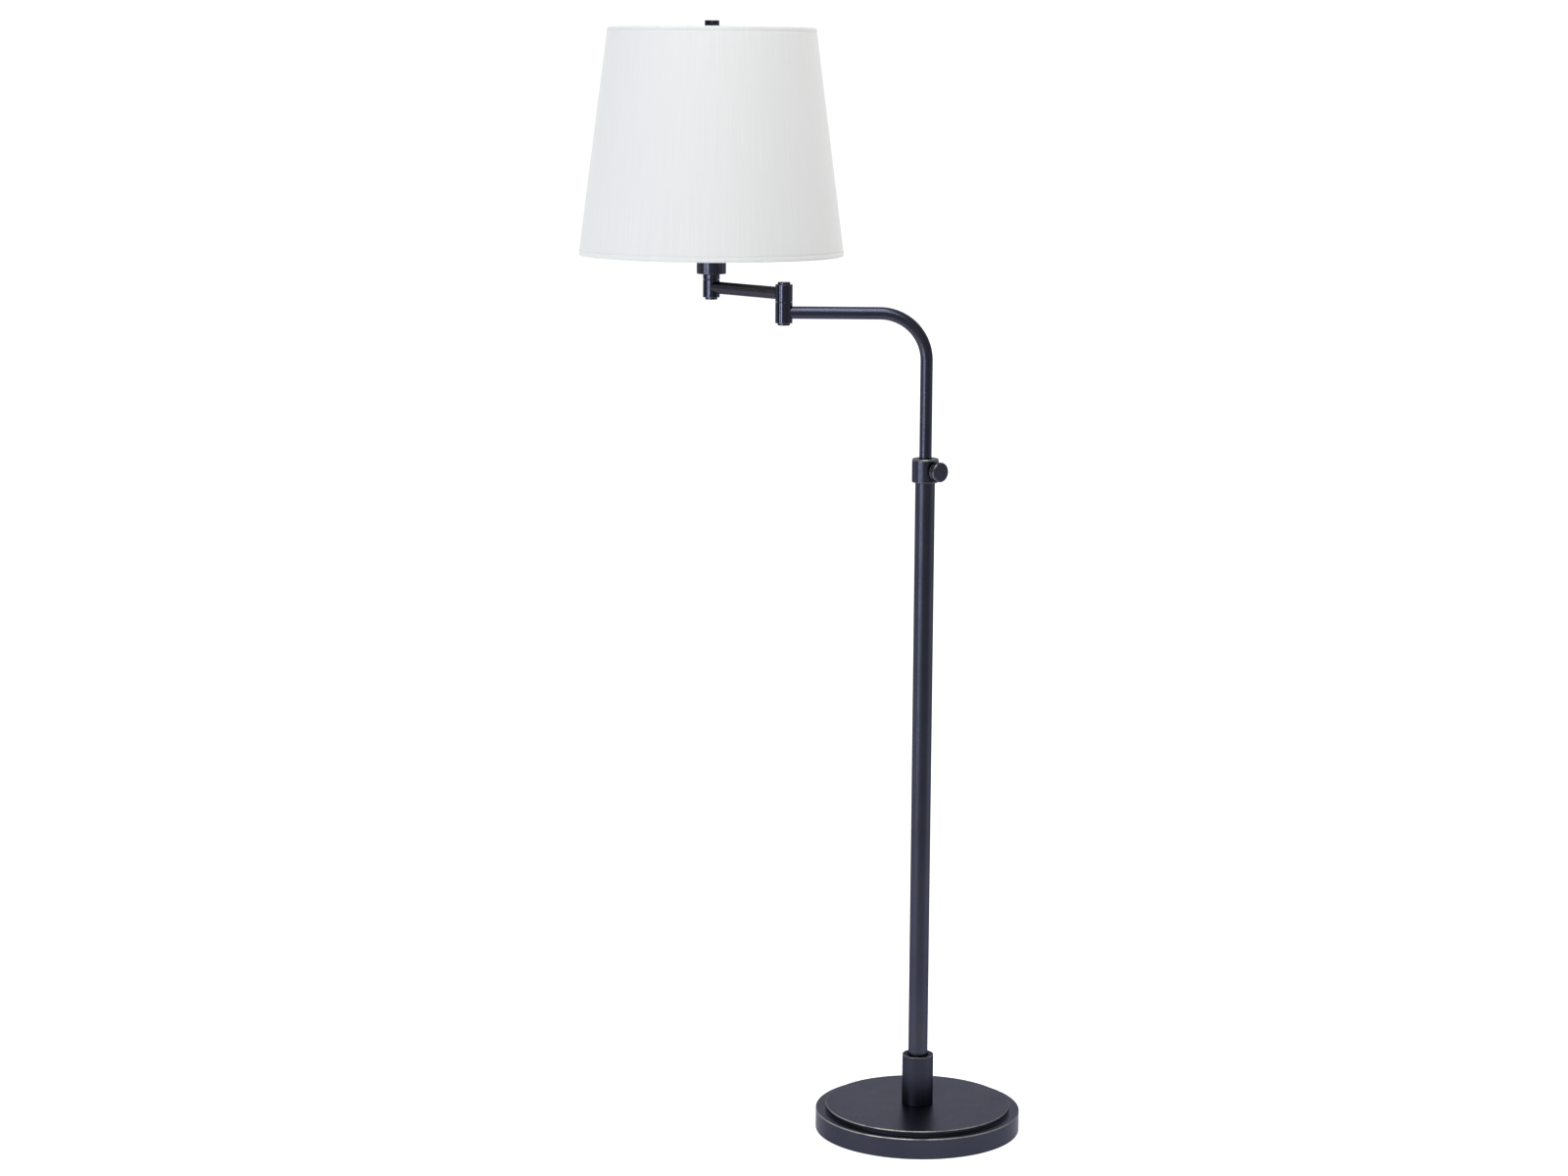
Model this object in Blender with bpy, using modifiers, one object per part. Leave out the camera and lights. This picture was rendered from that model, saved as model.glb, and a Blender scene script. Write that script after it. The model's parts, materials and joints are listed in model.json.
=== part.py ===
"""Pharmacy floor lamp: weighted round base, telescoping pole with a thumb screw, bent mast, swing arm,
swivelling socket with harp, and a tapered drum shade.

Units are metres and +Z is up. The origin is the centre of the base's underside, on the pole's axis.
The mast points to -X, and the swing arm turns back from it by ELBOW_ANGLE.
"""

import math

import bmesh
import bpy
from mathutils import Matrix, Vector

# ---------------------------------------------------------------- driving dimensions
GAP = 0.0003                  # clearance between touching pieces

BASE_R = 0.1338               # outer radius of the base cover
BASE_WALL_H = 0.0270          # height of its outer wall
DISC_R = 0.1207               # raised disc on top of it
BASE_TOP = 0.0332             # top of the raised disc
COVER_T = 0.0016              # spun steel thickness
BASE_FOOT = 0.0003            # lower edge of the cover, just clear of the floor
FELT_T = 0.0015
FELT_R = 0.1300
WEIGHT_R = 0.1285
WEIGHT_TOP = 0.0210
WEIGHT_HUB_R = 0.0300         # boss that carries the raised disc
WEIGHT_POCKET_R = 0.0200      # recess for the nut, from below
WEIGHT_POCKET_TOP = 0.0143
INLET_Z = 0.0110              # cord inlet in the rear wall
INLET_R = 0.0045

NIPPLE_R = 0.0048             # threaded hollow nipple, used at the base and at both knuckles
NIPPLE_BORE = 0.0030
NIPPLE_HOLE = NIPPLE_R + 0.0004
NIPPLE_FOOT = 0.0045          # lower end of the base's nipple

BASE_COLLAR_R = 0.0204
BASE_COLLAR_TOP = 0.1002
POLE_R = 0.0127               # one inch pole
POLE_BORE = 0.0112
POLE_FOOT = 0.0435
POLE_TOP = 0.8650
BUSH_HEIGHT = 0.0300          # nylon bush inside the pole's mouth, and its flange on top
BUSH_FLANGE = 0.0018

CLAMP_R = 0.0172              # collar with the thumb screw
CLAMP_BOTTOM = 0.8562
CLAMP_TOP = 0.8873
SCREW_Z = 0.8719
SCREW_ANGLE = math.radians(-52)    # bearing of the thumb screw in plan, from +X
KNOB_R = 0.0127
KNOB_FACE = 0.0325            # distance of the knob's face from the pole's axis
KNOB_T = 0.0095
KNOB_NECK_R = 0.0052
STUD_R = 0.0026

TUBE_R = 0.00792              # five-eighths mast and swing arm tube
TUBE_WALL = 0.0012
MAST_FOOT = 0.5860            # lower end of the mast, inside the pole
MAST_Z = 1.0718               # centreline of the mast's level run
MAST_BEND = 0.0600
MAST_REACH = 0.1820           # pole axis to elbow axis

ARM_Z = 1.0958                # centreline of the swing arm
ARM_LENGTH = 0.1520           # elbow axis to head axis
ELBOW_ANGLE = math.radians(50.35)

BARREL_R = 0.0110             # knuckle barrels
SPLIT = 0.0006                # visible line between two barrels
WASHER_R = 0.0085
WASHER_SEAT = 0.0004          # how far a washer sinks into the barrel under it
CAP_R = 0.0080                # cap nuts at the knuckles' ends
CAP_SINK = 0.0026
CAP_PROUD = 0.0029
ELBOW_LOW = 1.0583            # elbow knuckle: foot, split and top
ELBOW_SPLIT = 1.0850
ELBOW_TOP = 1.1077
HEAD_LOW = 1.0827             # head knuckle: foot, split and top of its neck
HEAD_SPLIT = 1.1056
NECK_TOP = 1.1129

CUP_R = 0.0192                # socket cup
CUP_TOP = 1.1376
SOCKET_FOOT = 1.1200
SOCKET_CAP_R = 0.0162
SOCKET_SHELL_R = 0.0152
SOCKET_TOP = 1.1790
INSULATOR_R = 0.0136
INSULATOR_TOP = 1.1520
SWITCH_Z = 1.1440
SWITCH_KNOB = (0.0250, 0.0400)    # inner and outer end of the switch knob, from the head's axis
BULB_FOOT = 1.1551
BULB_TALL = 0.1080
GLOBE_R = 0.0300

SHADE_LOW = 1.1373
SHADE_TOP = 1.4305
SHADE_R_LOW = 0.1729
SHADE_R_TOP = 0.1348
SHADE_T = 0.0012
RING_WIRE = 0.0015
SPIDER_Z = 1.4140             # underside of the spider's hub
HUB_T = 0.0016
SPOKE_WIRE = 0.0014
HARP_HALF = 0.0550            # widest half-width of the harp
HARP_WIRE = 0.0017
HARP_FOOT_X = 0.0215          # harp's feet, in their ferrules
HARP_FOOT_Z = 1.1555
STRAP_T = 0.0012              # strap of the saddle that holds the ferrules
FINIAL_R = 0.0095
FINIAL_BORE = 0.0034
FINIAL_TOP = 1.4389

FINE = 64                     # segments round the large turned pieces
ROUND = 32
SMALL = 24
TINY = 16

ELBOW = Vector((-MAST_REACH, 0.0, 0.0))
ARM_DIR = Vector((-math.cos(ELBOW_ANGLE), math.sin(ELBOW_ANGLE), 0.0))
HEAD = ELBOW + ARM_DIR * ARM_LENGTH
SCREW_DIR = Vector((math.cos(SCREW_ANGLE), math.sin(SCREW_ANGLE), 0.0))


# ---------------------------------------------------------------- scene and materials
for old in list(bpy.data.objects):
    bpy.data.objects.remove(old)


def collection(name):
    made = bpy.data.collections.new(name)
    bpy.context.scene.collection.children.link(made)
    return made


PARTS = collection("pharmacy_floor_lamp")
CUTTERS = collection("cutters")


def material(name, colour, roughness, metallic=0.0):
    made = bpy.data.materials.new(name)
    made.use_nodes = True
    shader = made.node_tree.nodes["Principled BSDF"]
    shader.inputs["Base Color"].default_value = (*colour, 1.0)
    shader.inputs["Roughness"].default_value = roughness
    shader.inputs["Metallic"].default_value = metallic
    return made


BRONZE = material("dark_bronze", (0.026, 0.026, 0.036), 0.36, 0.85)
IRON = material("cast_iron", (0.06, 0.06, 0.06), 0.75, 0.6)
FELT = material("felt", (0.02, 0.02, 0.02), 1.0)
STEEL = material("zinc_steel", (0.55, 0.56, 0.58), 0.35, 1.0)
BRASS = material("brass", (0.62, 0.46, 0.20), 0.3, 1.0)
NYLON = material("black_nylon", (0.03, 0.03, 0.03), 0.5)
PHENOLIC = material("phenolic", (0.025, 0.022, 0.02), 0.4)
FIBRE = material("liner_card", (0.20, 0.16, 0.11), 0.9)
GLASS = material("bulb_glass", (0.92, 0.92, 0.92), 0.15)
LINEN = material("shade_linen", (0.83, 0.83, 0.81), 0.9)


def empty(name, place):
    made = bpy.data.objects.new(name, None)
    made.empty_display_size = 0.05
    made.location = place
    PARTS.objects.link(made)
    return made


# one empty on each joint's axis; the pieces of a moving body are its children
SLIDER_FRAME = empty("slider_frame", (0.0, 0.0, 0.0))
MAST_FRAME = empty("mast_frame", (0.0, 0.0, 0.0))
SHOE_FRAME = empty("shoe_frame", SCREW_DIR * TUBE_R + Vector((0.0, 0.0, SCREW_Z)))
SCREW_FRAME = empty("screw_frame", SCREW_DIR * CLAMP_R + Vector((0.0, 0.0, SCREW_Z)))
ARM_FRAME = empty("arm_frame", ELBOW + Vector((0.0, 0.0, ARM_Z)))
HEAD_FRAME = empty("head_frame", HEAD + Vector((0.0, 0.0, NECK_TOP)))
SWITCH_FRAME = empty("switch_frame", HEAD + Vector((0.0, 0.0, SWITCH_Z)))
FINIAL_FRAME = empty("finial_frame", HEAD + Vector((0.0, 0.0, SPIDER_Z)))


# ---------------------------------------------------------------- shape helpers
def add(name, mesh, finish=None, parent=None, matrix=Matrix(), smooth=40.0):
    """Put a mesh in the model as one named piece, placed in world space."""
    made = bpy.data.objects.new(name, mesh)
    PARTS.objects.link(made)
    if finish:
        mesh.materials.append(finish)
        mesh.shade_smooth()
        mesh.set_sharp_from_angle(angle=math.radians(smooth))
    if parent:
        made.parent = parent
        made.matrix_parent_inverse = Matrix.Translation(-parent.location)
    made.matrix_basis = matrix
    return made


def filleted(points, steps=1):
    """Turn (r, z) and (r, z, fillet) corners into an outline with its marked corners rounded."""
    outline = []
    count = len(points)
    for i, point in enumerate(points):
        corner = Vector(point[:2])
        if len(point) < 3:
            outline.append(corner)
            continue
        before = (Vector(points[i - 1][:2]) - corner).normalized()
        after = (Vector(points[(i + 1) % count][:2]) - corner).normalized()
        half = before.angle(after) / 2
        back = point[2] / math.tan(half)
        centre = corner + (before + after).normalized() * (point[2] / math.sin(half))
        start = corner + before * back - centre
        turn = start.angle_signed(corner + after * back - centre)
        for step in range(steps + 1):
            angle = -turn * step / steps
            outline.append(centre + Matrix.Rotation(angle, 2) @ start)
    return outline


def turned_mesh(name, points, segments, closed=True, steps=1):
    """A profile of (r, z) points spun round Z by a Screw modifier; a solid's is open at the axis."""
    outline = filleted(points, steps)
    area = sum(a.x * b.y - b.x * a.y for a, b in zip(outline, outline[1:] + outline[:1]))
    if area > 0:
        outline.reverse()
    mesh = bpy.data.meshes.new(name)
    edges = [(i, i + 1) for i in range(len(outline) - 1)]
    if closed:
        edges.append((len(outline) - 1, 0))
    mesh.from_pydata([(p.x, 0.0, p.y) for p in outline], edges, [])
    holder = bpy.data.objects.new(name, mesh)
    PARTS.objects.link(holder)
    screw = holder.modifiers.new("turn", "SCREW")
    screw.steps = segments
    screw.render_steps = segments
    screw.use_merge_vertices = True
    screw.merge_threshold = 0.00001
    solid = evaluated_mesh(holder)
    bpy.data.objects.remove(holder)
    return solid


def evaluated_mesh(source):
    """The mesh that an object's modifiers or curve settings give, with its loose seams welded."""
    bpy.context.view_layer.update()
    graph = bpy.context.evaluated_depsgraph_get()
    mesh = bpy.data.meshes.new_from_object(source.evaluated_get(graph))
    work = bmesh.new()
    work.from_mesh(mesh)
    bmesh.ops.remove_doubles(work, verts=work.verts, dist=0.000005)
    work.to_mesh(mesh)
    work.free()
    return mesh


def turned(name, points, finish, segments=ROUND, parent=None, matrix=Matrix(), closed=True, steps=1):
    return add(name, turned_mesh(name, points, segments, closed, steps), finish, parent, matrix)


def ring(outer, inner, low, high, edge=0.0):
    """Profile of a tube or washer, with its outer edges rounded by edge."""
    if edge:
        return [(outer, low, edge), (outer, high, edge), (inner, high), (inner, low)]
    return [(outer, low), (outer, high), (inner, high), (inner, low)]


def along(direction, origin):
    """A matrix that turns local +Z to a direction and moves to an origin."""
    return Matrix.Translation(origin) @ direction.to_track_quat("Z", "Y").to_matrix().to_4x4()


def cylinder_cutter(name, radius, start, end, segments=SMALL):
    axis = end - start
    mesh = bpy.data.meshes.new(name)
    work = bmesh.new()
    bmesh.ops.create_cone(work, cap_ends=True, segments=segments, radius1=radius, radius2=radius,
                          depth=axis.length, matrix=along(axis.normalized(), (start + end) / 2))
    work.to_mesh(mesh)
    work.free()
    return cutter(name, mesh)


def box_cutter(name, low, high):
    mesh = bpy.data.meshes.new(name)
    work = bmesh.new()
    size = Vector(high) - Vector(low)
    place = Matrix.Translation((Vector(high) + Vector(low)) / 2)
    bmesh.ops.create_cube(work, size=1.0, matrix=place @ Matrix.Diagonal((*size, 1.0)))
    work.to_mesh(mesh)
    work.free()
    return cutter(name, mesh)


def cutter(name, mesh):
    made = bpy.data.objects.new(name, mesh)
    made.hide_render = True
    made.display_type = "WIRE"
    CUTTERS.objects.link(made)
    return made


def boolean(piece, other, operation="DIFFERENCE"):
    step = piece.modifiers.new(other.name, "BOOLEAN")
    step.operation = operation
    step.object = other
    step.solver = "EXACT"


def wire(name, points, radius, finish, parent=None, sides=2, cyclic=False):
    """A round wire through world points, as one closed mesh."""
    curve = bpy.data.curves.new(name, "CURVE")
    curve.dimensions = "3D"
    curve.bevel_depth = radius
    curve.bevel_resolution = sides
    curve.use_fill_caps = not cyclic
    spline = curve.splines.new("POLY")
    spline.points.add(len(points) - 1)
    spline.use_cyclic_u = cyclic
    for point, place in zip(spline.points, points):
        point.co = (*place, 1.0)
    holder = bpy.data.objects.new(name, curve)
    PARTS.objects.link(holder)
    mesh = evaluated_mesh(holder)
    bpy.data.objects.remove(holder)
    return add(name, mesh, finish, parent)


# ---------------------------------------------------------------- base and pole
def build_base():
    cover = turned("base_cover", [
        (NIPPLE_HOLE, BASE_TOP), (DISC_R, BASE_TOP, 0.0008), (DISC_R, BASE_WALL_H),
        (BASE_R, BASE_WALL_H, 0.0010), (BASE_R, BASE_FOOT),
        (BASE_R - COVER_T, BASE_FOOT), (BASE_R - COVER_T, BASE_WALL_H - COVER_T),
        (DISC_R - COVER_T, BASE_WALL_H - COVER_T), (DISC_R - COVER_T, BASE_TOP - COVER_T),
        (NIPPLE_HOLE, BASE_TOP - COVER_T)], BRONZE, FINE)
    rear = Vector((0.0, BASE_R, INLET_Z))
    reach = Vector((0.0, 0.01, 0.0))
    boolean(cover, cylinder_cutter("inlet_hole", INLET_R, rear - reach, rear + reach))

    neck = INLET_R - GAP
    flange = 0.0055
    bore = 0.0032
    lip = 0.0022
    inside = -COVER_T - 0.0005
    turned("cord_grommet", [
        (neck, inside), (flange, inside), (flange, inside - 0.0012), (bore, inside - 0.0012),
        (bore, lip), (flange, lip, 0.0006), (flange, GAP), (neck, GAP)],
        NYLON, TINY, matrix=along(Vector((0, 1, 0)), rear))

    hub_top = BASE_TOP - COVER_T - GAP
    underside = FELT_T + GAP
    weight = turned("base_weight", [
        (NIPPLE_HOLE, hub_top), (WEIGHT_HUB_R, hub_top), (WEIGHT_HUB_R, WEIGHT_TOP),
        (WEIGHT_R, WEIGHT_TOP, 0.003), (WEIGHT_R, underside), (WEIGHT_POCKET_R, underside),
        (WEIGHT_POCKET_R, WEIGHT_POCKET_TOP), (NIPPLE_HOLE, WEIGHT_POCKET_TOP)], IRON, ROUND)
    groove_top = INLET_Z + INLET_R
    groove = box_cutter("cord_groove", (-INLET_R, 0.012, -0.005), (INLET_R, BASE_R + 0.02, groove_top))
    boolean(weight, groove)

    felt = [(0.0, FELT_T), (FELT_R, FELT_T), (FELT_R, 0.0), (0.0, 0.0)]
    turned("base_felt", felt, FELT, ROUND, closed=False)
    washer_foot = WEIGHT_POCKET_TOP - 0.0015
    nut_top = washer_foot - GAP
    turned("base_nipple", ring(NIPPLE_R, NIPPLE_BORE, NIPPLE_FOOT, POLE_FOOT + 0.0165), STEEL, TINY)
    turned("base_washer", ring(0.0100, NIPPLE_HOLE, washer_foot, washer_foot + 0.0012), STEEL, TINY)
    hex_nut("base_nut", 0.0087, nut_top - 0.0055, nut_top)

    turned("base_collar", [
        (BASE_COLLAR_R, BASE_TOP + GAP), (BASE_COLLAR_R, BASE_COLLAR_TOP, 0.0008),
        (POLE_R + 0.0011, BASE_COLLAR_TOP), (POLE_R + GAP, BASE_COLLAR_TOP - 0.0010),
        (POLE_R + GAP, POLE_FOOT - GAP), (NIPPLE_HOLE, POLE_FOOT - GAP), (NIPPLE_HOLE, BASE_TOP + GAP)],
        BRONZE, ROUND)
    plug = ring(POLE_BORE - GAP, NIPPLE_HOLE, POLE_FOOT, POLE_FOOT + 0.020)
    turned("pole_foot_plug", plug, STEEL, SMALL)
    turned("lower_pole", ring(POLE_R, POLE_BORE, POLE_FOOT, POLE_TOP), BRONZE, ROUND)


def hex_nut(name, corner, low, high, parent=None, axis=Vector()):
    mesh = bpy.data.meshes.new(name)
    work = bmesh.new()
    middle = Matrix.Translation((axis.x, axis.y, (low + high) / 2))
    bmesh.ops.create_cone(work, cap_ends=True, segments=6, radius1=corner, radius2=corner,
                          depth=high - low, matrix=middle)
    work.to_mesh(mesh)
    work.free()
    nut = add(name, mesh, STEEL, parent)
    centre = Vector((axis.x, axis.y, low))
    boolean(nut, cylinder_cutter(name + "_bore", NIPPLE_R + GAP, centre - Vector((0, 0, 0.01)),
                                 centre + Vector((0, 0, 0.02)), TINY))
    return nut


# ---------------------------------------------------------------- clamp collar and thumb screw
def build_clamp():
    bore = TUBE_R + GAP
    flange_top = POLE_TOP + BUSH_FLANGE
    bush_foot = POLE_TOP - BUSH_HEIGHT
    turned("pole_guide_bush", [
        (bore, flange_top), (POLE_R, flange_top), (POLE_R, POLE_TOP + GAP),
        (POLE_BORE - GAP, POLE_TOP + GAP), (POLE_BORE - GAP, bush_foot), (bore, bush_foot)],
        NYLON, SMALL)
    seat = flange_top + GAP
    collar = turned("clamp_collar", [
        (CLAMP_R, CLAMP_BOTTOM, 0.0016), (CLAMP_R, CLAMP_TOP, 0.0024), (bore + 0.0008, CLAMP_TOP),
        (bore + GAP, CLAMP_TOP - 0.0006), (bore + GAP, seat), (POLE_R + GAP, seat),
        (POLE_R + GAP, CLAMP_BOTTOM)], BRONZE, ROUND, steps=2)
    centre = Vector((0.0, 0.0, SCREW_Z))
    hole_r = STUD_R + 0.0004
    hole = cylinder_cutter("screw_hole", hole_r, centre + SCREW_DIR * 0.004, centre + SCREW_DIR * 0.03)
    boolean(collar, hole)

    shoe = TUBE_R + 0.0005
    stud = shoe + 0.0040
    neck = CLAMP_R + 0.0006
    knob_back = KNOB_FACE - KNOB_T
    lie = along(SCREW_DIR, centre)
    stud_end = knob_back + 0.0040
    socket_end = stud_end + GAP
    socket_r = STUD_R + GAP
    turned("brake_shoe", [(0.0, shoe), (STUD_R, shoe), (STUD_R, stud - GAP), (0.0, stud - GAP)],
           BRASS, TINY, SHOE_FRAME, lie, closed=False)
    turned("thumb_screw_stud", [(0.0, stud), (STUD_R, stud), (STUD_R, stud_end), (0.0, stud_end)],
           STEEL, TINY, SCREW_FRAME, lie, closed=False)
    turned("thumb_screw_knob", [
        (0.0, KNOB_FACE), (KNOB_R - 0.0022, KNOB_FACE - 0.0002), (KNOB_R - 0.0008, KNOB_FACE - 0.0008),
        (KNOB_R, KNOB_FACE - 0.0020), (KNOB_R, knob_back, 0.0008), (KNOB_NECK_R, knob_back),
        (KNOB_NECK_R, neck), (socket_r, neck), (socket_r, socket_end), (0.0, socket_end)],
        BRONZE, SMALL, SCREW_FRAME, lie, closed=False)


# ---------------------------------------------------------------- mast
def build_mast():
    bore = TUBE_R + GAP
    turned("guide_sleeve", ring(POLE_BORE - GAP, bore, MAST_FOOT + 0.0045, MAST_FOOT + 0.0345),
           NYLON, SMALL, SLIDER_FRAME)
    for name, low in (("mast_lower_ring", MAST_FOOT + 0.0012), ("mast_upper_ring", MAST_FOOT + 0.0348)):
        turned(name, ring(0.0104, bore, low, low + 0.0030), STEEL, TINY, MAST_FRAME)

    bend_start = MAST_Z - MAST_BEND
    route = [Vector((0.0, 0.0, MAST_FOOT)), Vector((0.0, 0.0, bend_start))]
    turns = 12
    for step in range(1, turns + 1):
        angle = math.pi / 2 * step / turns
        rise = MAST_BEND * math.sin(angle)
        route.append(Vector((MAST_BEND * (math.cos(angle) - 1), 0.0, bend_start + rise)))
    route.append(Vector((-MAST_REACH, 0.0, MAST_Z)))
    tube("mast_tube", route, MAST_FRAME, [ELBOW + Vector((0.0, 0.0, MAST_Z))])


def tube(name, route, parent, barrels):
    """A hollow tube along a route, with its ends coped round the knuckle barrels that it meets."""
    curve = bpy.data.curves.new(name, "CURVE")
    curve.dimensions = "3D"
    curve.bevel_depth = TUBE_R
    curve.bevel_resolution = 6
    spline = curve.splines.new("POLY")
    spline.points.add(len(route) - 1)
    for point, place in zip(spline.points, route):
        point.co = (*place, 1.0)
    holder = bpy.data.objects.new(name, curve)
    PARTS.objects.link(holder)
    mesh = evaluated_mesh(holder)
    bpy.data.objects.remove(holder)
    piece = add(name, mesh, BRONZE, parent)
    wall = piece.modifiers.new("wall", "SOLIDIFY")
    wall.thickness = TUBE_WALL
    wall.offset = -1.0
    wall.use_even_offset = True
    for i, place in enumerate(barrels):
        half = Vector((0.0, 0.0, 0.03))
        cope = cylinder_cutter(f"{name}_cope_{i + 1}", BARREL_R + GAP, place - half, place + half, ROUND)
        boolean(piece, cope)
    return piece


# ---------------------------------------------------------------- knuckles
def barrel(name, axis, low, high, spigot_z, spigot_dir, cap_side, parent):
    """A knuckle barrel: a hollow spigot for its tube, a sunk seat for its cap nut, one for the washer."""
    outer = BARREL_R
    seat = CAP_R + 0.0004
    washer = WASHER_R + GAP
    edge = 0.0005
    if cap_side == "low":
        profile = [(outer, high, 0.0003), (outer, low, edge), (seat, low), (seat, low + CAP_SINK),
                   (NIPPLE_HOLE, low + CAP_SINK), (NIPPLE_HOLE, high - 0.0007), (washer, high - 0.0007),
                   (washer, high)]
    else:
        profile = [(outer, high, edge), (outer, low, 0.0003), (NIPPLE_HOLE, low),
                   (NIPPLE_HOLE, high - CAP_SINK), (seat, high - CAP_SINK), (seat, high)]
    piece = turned(name, profile, BRONZE, ROUND, parent, Matrix.Translation(axis))
    centre = axis + Vector((0.0, 0.0, spigot_z))
    spigot = cylinder_cutter(name + "_spigot", TUBE_R - TUBE_WALL - GAP, centre + spigot_dir * 0.0095,
                             centre + spigot_dir * (BARREL_R + 0.012), TINY)
    boolean(piece, spigot, "UNION")
    boolean(piece, cylinder_cutter(name + "_channel", 0.0034, centre + spigot_dir * 0.002,
                                   centre + spigot_dir * 0.03, TINY))
    return piece


def cap_nut(name, axis, rim, outward, parent):
    """A round cap nut sunk in a barrel's end; rim is the barrel's end face, outward is +1 up or -1 down."""
    inner = rim - outward * (CAP_SINK - GAP)
    face = rim + outward * CAP_PROUD
    floor = face - outward * 0.0013
    bore = NIPPLE_R + GAP
    return turned(name, [
        (0.0, face), (CAP_R, face, 0.0006), (CAP_R, inner), (bore, inner), (bore, floor), (0.0, floor)],
        BRONZE, SMALL, parent, Matrix.Translation(axis), closed=False)


def build_elbow():
    barrel("elbow_lower_barrel", ELBOW, ELBOW_LOW, ELBOW_SPLIT, MAST_Z, Vector((1, 0, 0)), "low", MAST_FRAME)
    barrel("elbow_upper_barrel", ELBOW, ELBOW_SPLIT + SPLIT, ELBOW_TOP, ARM_Z, ARM_DIR, "high", ARM_FRAME)
    place = Matrix.Translation(ELBOW)
    washer = ring(WASHER_R, NIPPLE_HOLE, ELBOW_SPLIT - WASHER_SEAT, ELBOW_SPLIT + GAP)
    turned("elbow_washer", washer, NYLON, TINY, MAST_FRAME, place)
    pivot = ring(NIPPLE_R, NIPPLE_BORE, ELBOW_LOW - 0.0012, ELBOW_TOP + 0.0012)
    turned("elbow_pivot", pivot, STEEL, SMALL, MAST_FRAME, place)
    cap_nut("elbow_bottom_cap", ELBOW, ELBOW_LOW, -1, MAST_FRAME)
    cap_nut("elbow_top_cap", ELBOW, ELBOW_TOP, 1, MAST_FRAME)


def build_swing_arm():
    level = Vector((0.0, 0.0, ARM_Z))
    tube("swing_arm_tube", [ELBOW + level, (ELBOW + HEAD) / 2 + level, HEAD + level], ARM_FRAME,
         [ELBOW + level, HEAD + level])
    barrel("head_barrel", HEAD, HEAD_LOW, HEAD_SPLIT, ARM_Z, -ARM_DIR, "low", ARM_FRAME)
    washer = ring(WASHER_R, NIPPLE_HOLE, HEAD_SPLIT - WASHER_SEAT, HEAD_SPLIT + GAP)
    turned("head_washer", washer, NYLON, TINY, ARM_FRAME, Matrix.Translation(HEAD))


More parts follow.
